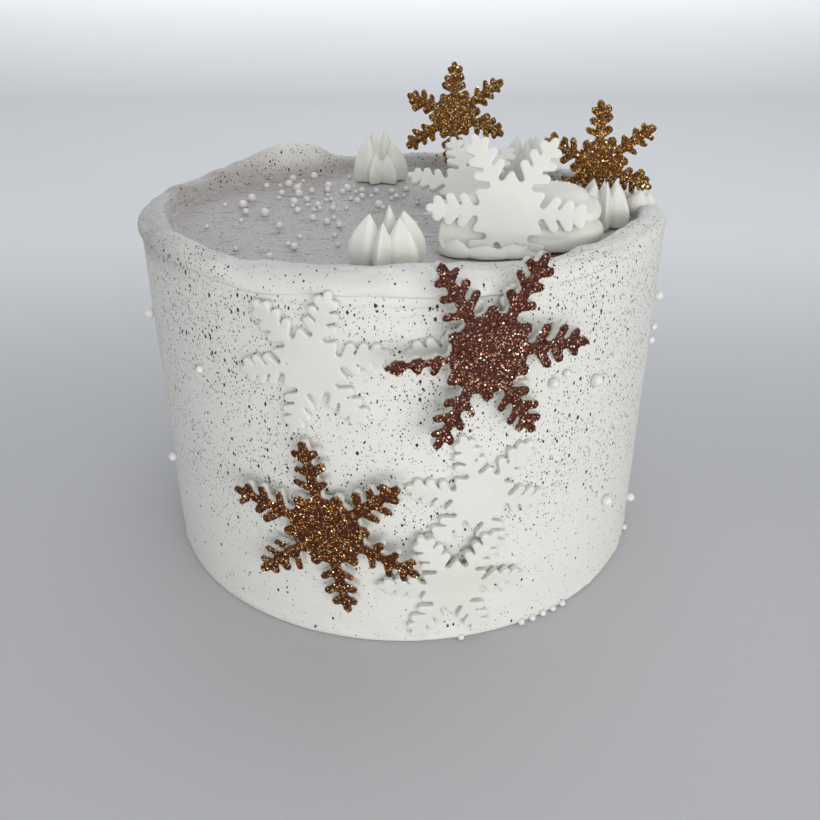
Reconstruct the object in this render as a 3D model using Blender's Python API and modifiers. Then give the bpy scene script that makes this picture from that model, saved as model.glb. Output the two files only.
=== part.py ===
"""A six-inch birthday cake in off-white buttercream, with snowflakes, piped stars and sugar pearls.

Metres, +Z up. The origin is the middle of the cake's foot, on the surface that it stands on, and
the front of the cake faces -Y. Azimuths are measured round the axis from the front, towards +X.
"""

import math
import random

import bmesh
import bpy
from mathutils import Matrix, Vector

MM = 0.001
GAP = 0.3 * MM
MERGE = 0.00001

# The frosted cake
FOOT_RADIUS = 77.0 * MM
WALL_TOP_RADIUS = 76.2 * MM
FOOT_EDGE = 0.8 * MM
WALL_TOP_HEIGHT = 98.6 * MM
TOP_HEIGHT = 100.0 * MM
TOP_CROWN = 0.4 * MM
RIM_HEIGHT = 104.8 * MM
RIM_CREST_RADIUS = 72.4 * MM
RIM_INNER_RADIUS = 67.6 * MM
BAND_RADIUS = 76.8 * MM
CREASE_DEPTH = 0.4 * MM
ROUND_STEPS = 64

# Where the rim stands higher or lower than usual: millimetres, azimuth, half width in degrees
RIM_BUMPS = ((6.2, -146.5, 12.0), (1.8, -126.0, 15.0), (-0.9, -160.0, 7.0), (0.8, 55.0, 26.0))
# Its ripples: millimetres, how many there are round the cake, degrees of shift
RIM_RIPPLES = ((0.35, 7, 30.0), (0.2, 13, 0.0))
# The crease under the rim climbs where these are
CREASE_BUMPS = ((2.6, 64.0, 26.0), (0.9, -62.0, 30.0))
# The thick curl of cream at the back left, which leans in over the top
CURL_AZIMUTH = -148.0
CURL_WIDTH = 14.0
CURL_INWARD = 5.5 * MM
INNER_WAVES = 9
INNER_WAVE_DEPTH = 0.5 * MM

# Sugar pearls: radius, how deep each is pressed in, and where the cluster on the top lies
BIG_PEARL = 1.6 * MM
LARGE_PEARL = 1.35 * MM
SMALL_PEARL = 1.0 * MM
PEARL_PRESS = 0.35
PEARL_SIDES = 6
PEARL_RINGS = 4
TOP_PEARLS = 36
CLUSTER_CENTRE = (-28.0 * MM, 9.0 * MM)
CLUSTER_SPREAD = (14.0 * MM, 22.0 * MM)
CLUSTER_RIGHT = 4.0 * MM
CLUSTER_SEED = 12
PEARL_ROOM = 4.6 * MM
WALL_PEARLS = (
    # azimuth in degrees, height, radius
    (-71.5, 77.0 * MM, BIG_PEARL),
    (-66.0, 33.0 * MM, LARGE_PEARL),
    (-42.5, 74.0 * MM, SMALL_PEARL),
    (28.0, 75.2 * MM, LARGE_PEARL),
    (31.0, 76.8 * MM, SMALL_PEARL),
    (39.0, 72.0 * MM, BIG_PEARL),
    (69.5, 82.8 * MM, LARGE_PEARL),
    (70.0, 73.0 * MM, SMALL_PEARL),
    (67.5, 70.2 * MM, SMALL_PEARL),
    (48.2, 29.8 * MM, BIG_PEARL),
    (70.0, 14.0 * MM, LARGE_PEARL),
    (104.0, 66.0 * MM, LARGE_PEARL),
    (138.0, 31.0 * MM, BIG_PEARL),
    (171.0, 80.0 * MM, SMALL_PEARL),
    (-152.0, 47.0 * MM, LARGE_PEARL),
    (-118.0, 20.0 * MM, SMALL_PEARL),
)
FOOT_PEARL_LEVEL = 1.05
FOOT_PEARL_OUT = 0.2
FOOT_PEARL_AZIMUTHS = (11.5, 25.2, 28.0, 30.8, 33.6, 36.4, 71.0, 118.0, 163.0, -141.0, -96.0)
CREAM_DABS = (
    # a dab of cream on the rim at the right, and one that the back flake stands on: middle, radius
    ((69.0, -8.5, 103.4), 3.2 * MM),
    ((17.8, 45.5, 100.5), 3.0 * MM),
)

# Snowflakes: every length is a share of the flake's radius, and every angle is in degrees
FONDANT = {
    "plate": 0.36,
    "lobe": 0.46,
    "lobe_half": 0.040,
    "notch": 19.0,
    "stem": 0.060,
    "roots": (0.48, 0.65, 0.815),
    "reach": (0.21, 0.19, 0.14),
    "finger_half": 0.052,
    "slant": 56.0,
}
GLITTER = {
    "plate": 0.38,
    "lobe": 0.46,
    "lobe_half": 0.055,
    "notch": 21.0,
    "stem": 0.050,
    "roots": (0.50, 0.66, 0.82),
    "reach": (0.17, 0.155, 0.115),
    "finger_half": 0.040,
    "slant": 60.0,
}
ARMS = 6
FINGER_NEAR_CORNER = 0.5
FINGER_FAR_CORNER = 0.7
VALLEY_ROOM = 0.012
VALLEY_SHIFT = 0.3
ARM_END = 0.985
ARM_END_HALF = 0.95
LOBE_SHOULDER = 0.95
THIN_ARM_REACH = 0.45
FONDANT_THICKNESS = 1.9 * MM
GLITTER_THICKNESS = 2.8 * MM
BEND_STEP = 9.0 * MM
BEND_GAP = 0.4 * MM
BAND_START = 93.0 * MM
RIM_CLEAR = 0.4 * MM

# Fondant flakes pressed round the wall: azimuth, height, turn, radius, and how far the upper part
# stands off to clear the flake below it, from which height
WALL_FLAKES = {
    "fondant_flake_upper": (-16.3, 83.0 * MM, 73.0, 19.3 * MM, 0.0, 0.0),
    "fondant_flake_behind": (14.8, 87.5 * MM, 61.0, 19.6 * MM, 0.0, 0.0),
    "fondant_flake_middle": (14.1, 47.0 * MM, 46.0, 19.3 * MM, 0.0, 0.0),
    "fondant_flake_foot": (9.3, 20.6 * MM, 57.5, 19.8 * MM, 2.6 * MM, 24.0 * MM),
}
LIFT_RUN = 6.0 * MM

# Flat flakes: centre, azimuth of the face, backward lean, turn, radius
GLITTER_FLAKES = {
    "glitter_flake_upper": ((18.6, -79.3, 88.1), 19.4, 0.7, 59.5, 25.0 * MM),
    "glitter_flake_lower": ((-19.6, -76.65, 38.4), -17.6, -1.2, 40.9, 26.1 * MM),
    "glitter_flake_back": ((18.1, 56.9, 120.5), -21.3, 36.1, 41.6, 20.0 * MM),
    "glitter_flake_right": ((57.4, -1.2, 114.1), 3.5, -9.2, 36.7, 18.3 * MM),
}
LEANING_FLAKES = {
    "fondant_flake_front": ((26.0, -44.0, 110.6), -7.5, 15.0, 58.5, 20.8 * MM),
    "fondant_flake_rear": ((19.7, 2.0, 106.8), -6.0, 50.0, 48.0, 19.5 * MM),
}

# Piped stars: centre, foot radius, height, and each petal's azimuth, width and height share
STARS = {
    "piped_star_front": (
        (-4.0, -53.0), 9.2 * MM, 13.4 * MM,
        ((-88, 0.50, 0.92), (-12, 0.30, 0.84), (48, 0.50, 0.90), (102, 0.42, 0.96), (172, 0.30, 1.0)),
    ),
    "piped_star_back": (
        (-8.0, 44.0), 9.0 * MM, 17.0 * MM,
        ((-75, 0.44, 0.93), (-20, 0.36, 0.90), (35, 0.40, 0.96), (95, 0.44, 0.94), (155, 0.36, 1.0),
         (215, 0.40, 0.97)),
    ),
    "piped_star_right": (
        (56.3, -17.4), 7.2 * MM, 12.6 * MM,
        ((-60, 0.34, 0.94), (-5, 0.30, 1.0), (50, 0.34, 0.92), (110, 0.36, 0.96), (170, 0.32, 0.90),
         (230, 0.34, 0.97)),
    ),
    "piped_star_rear": (
        (41.5, 41.5), 8.2 * MM, 16.0 * MM,
        ((-70, 0.44, 0.96), (0, 0.40, 0.92), (70, 0.44, 1.0), (140, 0.38, 0.94), (215, 0.42, 0.97)),
    ),
}
PETAL_SIDES = 6
PETAL_RINGS = 6
PETAL_PLACE = 0.54
PETAL_DEPTH = 0.40
PETAL_LEAN = 0.22
PETAL_BELLY = (0.82, 0.5)
PETAL_POINT = 2.2
PETAL_FLAT_FOOT = 0.07
STAR_HEART = 0.55
STAR_HEART_WIDTH = 0.62

# Round dollops that carry the leaning flakes: centre, foot radius, height, how far the top leans,
# whether it is piped in two layers, and the flake that leans on it
DOLLOPS = {
    "piped_dollop_left": (
        (17.6, -43.4), 9.5 * MM, 11.4 * MM, (0.0, 0.6), False, "fondant_flake_front",
    ),
    "piped_dollop_right": (
        (39.0, -34.4), 13.1 * MM, 14.2 * MM, (1.0, 2.6), True, "fondant_flake_front",
    ),
    "piped_dollop_rear": (
        (22.0, 12.5), 9.6 * MM, 13.8 * MM, (0.0, 0.0), False, "fondant_flake_rear",
    ),
}
ROUND_DOLLOP = ((0.0, 1.0), (0.42, 0.94), (0.76, 0.73), (0.95, 0.42), (1.0, 0.18), (0.93, 0.0))
LAYERED_DOLLOP = (
    (0.0, 1.0), (0.45, 0.96), (0.78, 0.83), (0.93, 0.66), (0.91, 0.52), (0.84, 0.46), (0.98, 0.36),
    (1.0, 0.18), (0.94, 0.0),
)
DOLLOP_STEPS = 18
BLOCK_SIZE = 2.4


def clear_scene():
    """Removes every object of the open scene."""
    for item in list(bpy.data.objects):
        bpy.data.objects.remove(item, do_unlink=True)


def make_collection(name):
    """A collection linked to the scene."""
    group = bpy.data.collections.new(name)
    bpy.context.scene.collection.children.link(group)
    return group


def make_material(name, colour, roughness, metallic=0.0):
    """A plain Principled material."""
    mat = bpy.data.materials.new(name)
    mat.use_nodes = True
    shader = mat.node_tree.nodes["Principled BSDF"]
    shader.inputs["Base Color"].default_value = (*colour, 1.0)
    shader.inputs["Roughness"].default_value = roughness
    shader.inputs["Metallic"].default_value = metallic
    return mat


def add_object(name, mesh, group, mat=None):
    """Wraps a mesh in an object of the collection."""
    item = bpy.data.objects.new(name, mesh)
    group.objects.link(item)
    if mat is not None:
        mesh.materials.clear()
        mesh.materials.append(mat)
    return item


def as_cutter(item):
    """Marks an object as one that only cuts others."""
    item.hide_render = True
    item.display_type = "WIRE"
    return item


def bake(item):
    """The object's evaluated shape as a new welded mesh. The object itself is removed."""
    bpy.context.view_layer.update()
    graph = bpy.context.evaluated_depsgraph_get()
    mesh = bpy.data.meshes.new_from_object(item.evaluated_get(graph))
    bm = bmesh.new()
    bm.from_mesh(mesh)
    bmesh.ops.remove_doubles(bm, verts=bm.verts[:], dist=MERGE)
    bm.to_mesh(mesh)
    bm.free()
    bpy.data.objects.remove(item, do_unlink=True)
    return mesh


def face_outwards(bm):
    """Turns every face of a closed mesh outwards."""
    bmesh.ops.recalc_face_normals(bm, faces=bm.faces[:])
    if bm.calc_volume(signed=True) < 0.0:
        bmesh.ops.reverse_faces(bm, faces=bm.faces[:])


def turned(name, profile, steps, group):
    """A closed solid turned from a profile that runs from its top down its outer side."""
    mesh = bpy.data.meshes.new(name)
    points = profile + [(0.0, profile[-1][1])]
    edges = [(n, n + 1) for n in range(len(points) - 1)]
    mesh.from_pydata([(radius, 0.0, z) for radius, z in points], edges, [])
    section = add_object(name, mesh, group)
    screw = section.modifiers.new("turn", "SCREW")
    screw.steps = screw.render_steps = steps
    screw.use_merge_vertices = True
    screw.merge_threshold = MERGE
    return bake(section)


def cut_away(item, cutter, name, group, mat):
    """Takes a cutter's shape out of an object, then removes the cutter."""
    cut = item.modifiers.new("cut", "BOOLEAN")
    cut.operation = "DIFFERENCE"
    cut.object = cutter
    mesh = bake(item)
    bpy.data.objects.remove(cutter, do_unlink=True)
    mesh.name = name
    return add_object(name, mesh, group, mat)


def smooth(low, high, value):
    """Rises from 0 at low to 1 at high."""
    share = min(max((value - low) / (high - low), 0.0), 1.0)
    return share * share * (3.0 - 2.0 * share)


def bump(degrees, middle, width):
    """A rounded bump round the cake, 1 at its middle."""
    away = (degrees - middle + 180.0) % 360.0 - 180.0
    return math.exp(-((away / width) ** 2))


def azimuth_of(x, y):
    """Degrees round the cake from the front, towards +X."""
    return math.degrees(math.atan2(x, -y))


def wall_radius(z):
    """The smooth wall's radius at a height."""
    return FOOT_RADIUS + (WALL_TOP_RADIUS - FOOT_RADIUS) * z / WALL_TOP_HEIGHT


# The cake


def cake_profile():
    """Half the section, from the middle of the top down the outer side to the foot."""
    crease = WALL_TOP_RADIUS - CREASE_DEPTH
    return [
        (0.0, TOP_HEIGHT + TOP_CROWN),
        (34 * MM, TOP_HEIGHT + TOP_CROWN * 0.7),
        (60 * MM, TOP_HEIGHT + TOP_CROWN * 0.2),
        (RIM_INNER_RADIUS - 1.6 * MM, TOP_HEIGHT),
        (RIM_INNER_RADIUS, TOP_HEIGHT + 1.4 * MM),
        (RIM_INNER_RADIUS + 1.3 * MM, RIM_HEIGHT - 1.0 * MM),
        (RIM_CREST_RADIUS, RIM_HEIGHT),
        (BAND_RADIUS - 1.4 * MM, RIM_HEIGHT - 0.5 * MM),
        (BAND_RADIUS, RIM_HEIGHT - 2.0 * MM),
        (BAND_RADIUS - 0.1 * MM, WALL_TOP_HEIGHT + 2.0 * MM),
        (crease, WALL_TOP_HEIGHT + 1.0 * MM),
        (WALL_TOP_RADIUS, WALL_TOP_HEIGHT - 0.6 * MM),
        (FOOT_RADIUS, 2.0 * MM),
        (FOOT_RADIUS - FOOT_EDGE, 0.0),
    ]


def rim_lift(degrees):
    """How far the rim's crest stands above its usual height."""
    lift = sum(height * bump(degrees, middle, width) for height, middle, width in RIM_BUMPS)
    for height, count, shift in RIM_RIPPLES:
        lift += height * math.sin(math.radians(count * degrees + shift))
    return lift * MM


def crease_lift(degrees):
    """The crease below the rim climbs towards the right-hand side."""
    return sum(height * bump(degrees, middle, width) for height, middle, width in CREASE_BUMPS) * MM


def shape_rim(mesh):
    """Makes the turned rim uneven, with the thick curl of cream at the back left."""
    for vert in mesh.vertices:
        x, y, z = vert.co
        radius = math.hypot(x, y)
        if radius < 50 * MM or z < WALL_TOP_HEIGHT - 2 * MM:
            continue
        degrees = azimuth_of(x, y)
        crest = smooth(TOP_HEIGHT + 0.5 * MM, RIM_HEIGHT, z)
        if z < WALL_TOP_HEIGHT + 1.5 * MM and radius > RIM_CREST_RADIUS:
            z += crease_lift(degrees)
        elif radius > RIM_CREST_RADIUS + 2 * MM and z < RIM_HEIGHT - 2.5 * MM:
            z += 0.8 * crease_lift(degrees)
        curl = bump(degrees, CURL_AZIMUTH, CURL_WIDTH)
        inward = 0.0
        if radius < RIM_CREST_RADIUS + 1 * MM:
            inward = CURL_INWARD * curl * smooth(62 * MM, RIM_INNER_RADIUS, radius)
            inward += INNER_WAVE_DEPTH * math.sin(math.radians(INNER_WAVES * degrees))
        share = (radius - inward) / radius
        vert.co = (x * share, y * share, z + rim_lift(degrees) * crest)


def pearl(place, radius):
    """One pearl as a low sphere, its poles turned sideways."""
    bm = bmesh.new()
    bmesh.ops.create_uvsphere(bm, u_segments=PEARL_SIDES, v_segments=PEARL_RINGS, radius=radius)
    bmesh.ops.translate(bm, verts=bm.verts[:], vec=place)
    mesh = bpy.data.meshes.new("pearl")
    bm.to_mesh(mesh)
    bm.free()
    return mesh


def on_wall(degrees, z, out=0.0):
    """A point on the wall, or that far outside it."""
    turn = math.radians(degrees)
    radius = wall_radius(z) + out
    return Vector((radius * math.sin(turn), -radius * math.cos(turn), z))


def pearl_places():
    """Every pearl's middle and radius: the cluster on the top, those on the wall and at the foot."""
    press = 1.0 - PEARL_PRESS
    places = []
    draw = random.Random(CLUSTER_SEED)
    taken = [Vector((*place, 0.0)) * MM for place, *_ in STARS.values()]
    clear = [PEARL_ROOM + foot for _, foot, *_ in STARS.values()]
    while len(places) < TOP_PEARLS:
        x = draw.gauss(CLUSTER_CENTRE[0], CLUSTER_SPREAD[0])
        y = draw.gauss(CLUSTER_CENTRE[1], CLUSTER_SPREAD[1])
        radius = LARGE_PEARL if len(places) % 3 == 0 else SMALL_PEARL
        spot = Vector((x, y, 0.0))
        if spot.length > RIM_INNER_RADIUS - PEARL_ROOM or x > CLUSTER_RIGHT:
            continue
        if any((spot - other).length < room for other, room in zip(taken, clear)):
            continue
        taken.append(spot)
        clear.append(PEARL_ROOM)
        level = TOP_HEIGHT + TOP_CROWN * (1.0 - spot.length / RIM_INNER_RADIUS)
        places.append((Vector((x, y, level + radius * press)), radius))
    for degrees, z, radius in WALL_PEARLS:
        places.append((on_wall(degrees, z, radius * press), radius))
    for degrees in FOOT_PEARL_AZIMUTHS:
        place = on_wall(degrees, SMALL_PEARL * FOOT_PEARL_LEVEL, SMALL_PEARL * FOOT_PEARL_OUT)
        places.append((place, SMALL_PEARL))
    return places


def make_cake(group, cutters, mat):
    """The turned cake with its uneven rim, and the pearls fused to it by one union."""
    mesh = turned("cake_section", cake_profile(), ROUND_STEPS, group)
    shape_rim(mesh)
    cake = add_object("cake_body", mesh, group, mat)
    for place, radius in pearl_places():
        add_object("pearl", pearl(place, radius), cutters)
    for place, radius in CREAM_DABS:
        add_object("cream_dab", pearl(Vector(place) * MM, radius), cutters)
    union = cake.modifiers.new("pearls", "BOOLEAN")
    union.operation = "UNION"
    union.operand_type = "COLLECTION"
    union.collection = cutters
    union.solver = "MANIFOLD"
    fused = bake(cake)
    fused.name = "cake_body"
    for item in list(cutters.objects):
        bpy.data.objects.remove(item, do_unlink=True)
    body = add_object("cake_body", fused, group, mat)
    fused.shade_smooth()
    fused.set_sharp_from_angle(angle=math.radians(40))
    return body


# The snowflakes


def arm_half(style, thin=1.0):
    """One side of an arm along +X, from the notch beside the lobe out to the tip."""
    slant = math.radians(style["slant"])
    along = Vector((math.cos(slant), math.sin(slant)))
    across = Vector((math.sin(slant), -math.cos(slant)))
    half = style["finger_half"]
    notch = math.radians(style["notch"])
    points = [Vector((style["plate"] * math.cos(notch), style["plate"] * math.sin(notch)))]
    roots = style["roots"]
    for root, reach in zip(roots, style["reach"]):
        base = Vector((root, style["stem"]))
        end = base + along * reach * thin
        points.append(end - across * half - along * half * FINGER_NEAR_CORNER)
        points.append(end + across * half * FINGER_FAR_CORNER)
        valley = root + half / math.sin(slant) + VALLEY_ROOM
        points.append(Vector((valley + style["stem"] * VALLEY_SHIFT, style["stem"])))
    points.append(Vector((ARM_END, style["stem"] * ARM_END_HALF)))
    return points


def flake_outline(style, radius, thin_arm=None):
    """Points round one flake, anticlockwise, with a rounded lobe between each two arms."""
    points = []
    lobe_turn = math.radians(180.0 / ARMS)
    for arm in range(ARMS):
        turn = Matrix.Rotation(math.radians(360.0 / ARMS * arm), 2)
        half = arm_half(style, THIN_ARM_REACH if arm == thin_arm else 1.0)
        right = [Vector((p.x, -p.y)) for p in half]
        lobe = Matrix.Rotation(lobe_turn, 2) @ Vector((style["lobe"], 0.0))
        side = Matrix.Rotation(lobe_turn, 2) @ Vector((0.0, style["lobe_half"]))
        loop = right + [Vector((1.0, 0.0))] + half[::-1]
        loop += [lobe * LOBE_SHOULDER - side, lobe, lobe * LOBE_SHOULDER + side]
        points += [(turn @ p) * radius for p in loop]
    return points


def flake_plate(style, radius, thickness, group, thin_arm=None):
    """A flat flake in its own XY plane, as thick as given, as a welded mesh."""
    outline = flake_outline(style, radius, thin_arm)
    curve = bpy.data.curves.new("flake_outline", "CURVE")
    curve.dimensions = "2D"
    curve.fill_mode = "BOTH"
    curve.extrude = thickness / 2
    spline = curve.splines.new("POLY")
    spline.points.add(len(outline) - 1)
    for spot, place in zip(spline.points, outline):
        spot.co = (place.x, place.y, 0.0, 1.0)
    spline.use_cyclic_u = True
    return bake(add_object("flake_outline", curve, group))


def cut_columns(bm, radius, step):
    """Cuts a plate along upright lines a step apart, so that it can bend."""
    count = int(radius / step)
    for n in range(-count, count + 1):
        geometry = bm.verts[:] + bm.edges[:] + bm.faces[:]
        bmesh.ops.bisect_plane(bm, geom=geometry, plane_co=(n * step, 0, 0), plane_no=(1, 0, 0))


def wrap_on_wall(mesh, degrees, height, turn, radius, lift, lift_start):
    """Turns a flat flake in its plane and bends it round the wall, a gap clear of the cream."""
    bm = bmesh.new()
    bm.from_mesh(mesh)
    bmesh.ops.rotate(bm, verts=bm.verts[:], matrix=Matrix.Rotation(math.radians(turn), 3, "Z"))
    bmesh.ops.dissolve_limit(bm, angle_limit=0.01, verts=bm.verts[:], edges=bm.edges[:])
    cut_columns(bm, radius, BEND_STEP)
    bmesh.ops.triangulate(bm, faces=bm.faces[:])
    for vert in bm.verts:
        u, v, w = vert.co
        z = height + v
        proud = (BAND_RADIUS - WALL_TOP_RADIUS) * smooth(BAND_START, WALL_TOP_HEIGHT, z)
        stand = lift * smooth(lift_start, lift_start + LIFT_RUN, z) if lift else 0.0
        face = wall_radius(z) + proud + stand + BEND_GAP + FONDANT_THICKNESS / 2 + w
        around = math.radians(degrees) + u / (wall_radius(height) + BEND_GAP)
        vert.co = (face * math.sin(around), -face * math.cos(around), z)
    face_outwards(bm)
    bm.to_mesh(mesh)
    bm.free()


def stand_flake(mesh, centre, degrees, lean, turn, floor):
    """Places a flat flake by its centre, facing an azimuth, leaning back, cut at the cream."""
    face = Matrix.Rotation(math.radians(turn), 4, "Z")
    upright = Matrix.Rotation(math.radians(90.0 - lean), 4, "X")
    around = Matrix.Rotation(math.radians(degrees), 4, "Z")
    bm = bmesh.new()
    bm.from_mesh(mesh)
    bmesh.ops.transform(bm, verts=bm.verts[:], matrix=around @ upright @ face)
    bmesh.ops.translate(bm, verts=bm.verts[:], vec=Vector(centre) * MM)
    if floor is not None:
        geometry = bm.verts[:] + bm.edges[:] + bm.faces[:]
        cut = bmesh.ops.bisect_plane(
            bm, geom=geometry, plane_co=(0, 0, floor), plane_no=(0, 0, -1), clear_outer=True
        )
        edges = [e for e in cut["geom_cut"] if isinstance(e, bmesh.types.BMEdge)]
        if edges:
            bmesh.ops.holes_fill(bm, edges=[e for e in bm.edges if e.is_boundary])
    face_outwards(bm)
    bm.to_mesh(mesh)
    bm.free()


def rim_cutter(cutters):
    """The cake a gap larger, which cuts a flake where it would run into the rim."""
    mesh = turned("rim_cutter", cake_profile(), ROUND_STEPS, cutters)
    shape_rim(mesh)
    bm = bmesh.new()
    bm.from_mesh(mesh)
    bm.normal_update()
    places = [vert.co + vert.normal * RIM_CLEAR for vert in bm.verts]
    for vert, place in zip(bm.verts, places):
        vert.co = place
    bm.to_mesh(mesh)
    bm.free()
    return as_cutter(add_object("rim_cutter", mesh, cutters))


def make_flakes(group, cutters, white, bronze):
    """Every snowflake: four pressed on the wall, two on the top, and four of cast glitter."""
    floor = TOP_HEIGHT + TOP_CROWN + GAP
    for name, (degrees, height, turn, radius, lift, start) in WALL_FLAKES.items():
        mesh = flake_plate(FONDANT, radius, FONDANT_THICKNESS, group)
        wrap_on_wall(mesh, degrees, height, turn, radius, lift, start)
        add_object(name, mesh, group, white)
    for name, (centre, degrees, lean, turn, radius) in LEANING_FLAKES.items():
        mesh = flake_plate(FONDANT, radius, FONDANT_THICKNESS, group)
        stand_flake(mesh, centre, degrees, lean, turn, floor)
        add_object(name, mesh, group, white)
    for name, (centre, degrees, lean, turn, radius) in GLITTER_FLAKES.items():
        thin_arm = 2 if name == "glitter_flake_upper" else None
        mesh = flake_plate(GLITTER, radius, GLITTER_THICKNESS, group, thin_arm)
        on_top = centre[2] * MM > TOP_HEIGHT
        stand_flake(mesh, centre, degrees, lean, turn, floor if on_top else None)
        item = add_object(name, mesh, group, bronze)
        if name == "glitter_flake_right":
            cut_away(item, rim_cutter(cutters), name, group, bronze)


# The piped cream


def petal(height, width, depth, lean):
    """One pointed petal standing at the origin, thickest a third of the way up, leaning to -X."""
    bm = bmesh.new()
    bmesh.ops.create_uvsphere(bm, u_segments=PETAL_SIDES, v_segments=PETAL_RINGS, radius=1.0)
    for vert in bm.verts:
        share = (vert.co.z + 1.0) / 2.0
        round_here = max(math.hypot(vert.co.x, vert.co.y), 0.01)
        belly = PETAL_BELLY[0] + PETAL_BELLY[1] * math.sin(math.pi * share)
        fat = 0.0 if share < 0.01 else (1.0 - share ** PETAL_POINT) * belly
        x = vert.co.x / round_here * depth * fat - lean * share * share
        y = vert.co.y / round_here * width * fat
        vert.co = (x, y, height * smooth(0.0, 1.0, share) if share > PETAL_FLAT_FOOT else 0.0)
    return bm


def union_of(name, pieces, group, cutters, mat):
    """Joins closed meshes into one body by a Boolean union on a collection."""
    first = add_object(name, pieces[0], group, mat)
    for mesh in pieces[1:]:
        add_object(name + "_piece", mesh, cutters)
    union = first.modifiers.new("join", "BOOLEAN")
    union.operation = "UNION"
    union.operand_type = "COLLECTION"
    union.collection = cutters
    union.solver = "MANIFOLD"
    fused = bake(first)
    fused.name = name
    for item in list(cutters.objects):
        bpy.data.objects.remove(item, do_unlink=True)
    item = add_object(name, fused, group, mat)
    fused.shade_smooth()
    fused.set_sharp_from_angle(angle=math.radians(50))
    return item


def make_star(name, place, foot, height, petals, group, cutters, mat):
    """A piped star on the top of the cake: pointed petals in a ring round a low heart."""
    level = TOP_HEIGHT + TOP_CROWN + GAP
    heart = petal(height * STAR_HEART, foot * STAR_HEART_WIDTH, foot * STAR_HEART_WIDTH, 0.0)
    pieces = [(heart, 0.0, 0.0)]
    for degrees, wide, tall in petals:
        bm = petal(height * tall, foot * wide, foot * PETAL_DEPTH, foot * PETAL_LEAN)
        pieces.append((bm, foot * PETAL_PLACE, degrees - 90.0))
    meshes = []
    for bm, out, turn in pieces:
        bmesh.ops.translate(bm, verts=bm.verts[:], vec=(out, 0.0, 0.0))
        bmesh.ops.rotate(bm, verts=bm.verts[:], matrix=Matrix.Rotation(math.radians(turn), 3, "Z"))
        bmesh.ops.translate(bm, verts=bm.verts[:], vec=(place[0] * MM, place[1] * MM, level))
        mesh = bpy.data.meshes.new(name)
        bm.to_mesh(mesh)
        bm.free()
        meshes.append(mesh)
    return union_of(name, meshes, group, cutters, mat)


def make_dollop(name, group, cutters, mat):
    """A round dollop on the top of the cake, flattened where a flake leans on it."""
    place, foot, height, lean, layered, flake = DOLLOPS[name]
    shape = LAYERED_DOLLOP if layered else ROUND_DOLLOP
    mesh = turned(name, [(foot * out, height * up) for out, up in shape], DOLLOP_STEPS, group)
    level = TOP_HEIGHT + TOP_CROWN + GAP
    for vert in mesh.vertices:
        share = (vert.co.z / height) ** 2
        vert.co.x += (place[0] + lean[0] * share) * MM
        vert.co.y += (place[1] + lean[1] * share) * MM
        vert.co.z += level
    item = add_object(name, mesh, group, mat)
    item = cut_away(item, flake_block(flake, cutters), name, group, mat)
    item.data.shade_smooth()
    item.data.set_sharp_from_angle(angle=math.radians(50))
    return item


def flake_block(flake, cutters):
    """The room of a leaning flake: a block from just behind its back face forwards."""
    centre, degrees, lean, _, radius = LEANING_FLAKES[flake]
    deep = radius * 2
    bm = bmesh.new()
    bmesh.ops.create_cube(bm, size=1.0)
    bmesh.ops.scale(bm, verts=bm.verts[:], vec=(radius * BLOCK_SIZE, radius * BLOCK_SIZE, deep))
    bmesh.ops.translate(bm, verts=bm.verts[:], vec=(0.0, 0.0, (deep - FONDANT_THICKNESS) / 2 - GAP))
    upright = Matrix.Rotation(math.radians(90.0 - lean), 4, "X")
    around = Matrix.Rotation(math.radians(degrees), 4, "Z")
    bmesh.ops.transform(bm, verts=bm.verts[:], matrix=around @ upright)
    bmesh.ops.translate(bm, verts=bm.verts[:], vec=Vector(centre) * MM)
    mesh = bpy.data.meshes.new("flake_block")
    bm.to_mesh(mesh)
    bm.free()
    return as_cutter(add_object("flake_block", mesh, cutters))


def build():
    """Makes the whole cake."""
    clear_scene()
    group = make_collection("birthday_cake")
    cutters = make_collection("joined_pieces")
    cream = make_material("buttercream", (0.80, 0.79, 0.76), 0.55)
    white = make_material("fondant", (0.86, 0.86, 0.83), 0.5)
    bronze = make_material("bronze_glitter", (0.36, 0.16, 0.06), 0.35, 0.6)
    make_cake(group, cutters, cream)
    make_flakes(group, cutters, white, bronze)
    for name, (place, foot, height, petals) in STARS.items():
        make_star(name, place, foot, height, petals, group, cutters, cream)
    for name in DOLLOPS:
        make_dollop(name, group, cutters, cream)
    bpy.data.collections.remove(cutters)


build()
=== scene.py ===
"""The looks of a six-inch birthday cake: buttercream, fondant and glitter snowflakes, piping, pearls.

Metres, +Z up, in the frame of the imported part. The front of the cake faces -Y. Azimuths are
measured round the cake's axis from the front, towards +X.
"""

import math
import random

import bmesh
import bpy
from mathutils import Matrix, Vector, noise


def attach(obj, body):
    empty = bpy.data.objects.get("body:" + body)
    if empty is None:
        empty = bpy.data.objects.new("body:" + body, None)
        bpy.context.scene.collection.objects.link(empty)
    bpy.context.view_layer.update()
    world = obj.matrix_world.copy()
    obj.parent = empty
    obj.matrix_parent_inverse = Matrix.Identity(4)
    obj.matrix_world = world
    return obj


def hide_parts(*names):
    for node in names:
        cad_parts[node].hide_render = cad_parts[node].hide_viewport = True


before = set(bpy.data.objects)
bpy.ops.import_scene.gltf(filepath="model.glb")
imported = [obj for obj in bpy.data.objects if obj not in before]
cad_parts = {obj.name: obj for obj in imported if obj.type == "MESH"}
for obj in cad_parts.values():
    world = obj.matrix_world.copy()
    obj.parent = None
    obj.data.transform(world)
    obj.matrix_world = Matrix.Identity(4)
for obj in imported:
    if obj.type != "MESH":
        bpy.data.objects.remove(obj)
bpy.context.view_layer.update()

MM = 0.001
MERGE_GAP = 0.01 * MM
# How strongly each round softens a fused piece. A piece's fuse is its voxel and its rounds.
SOFTENING = 0.5

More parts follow.
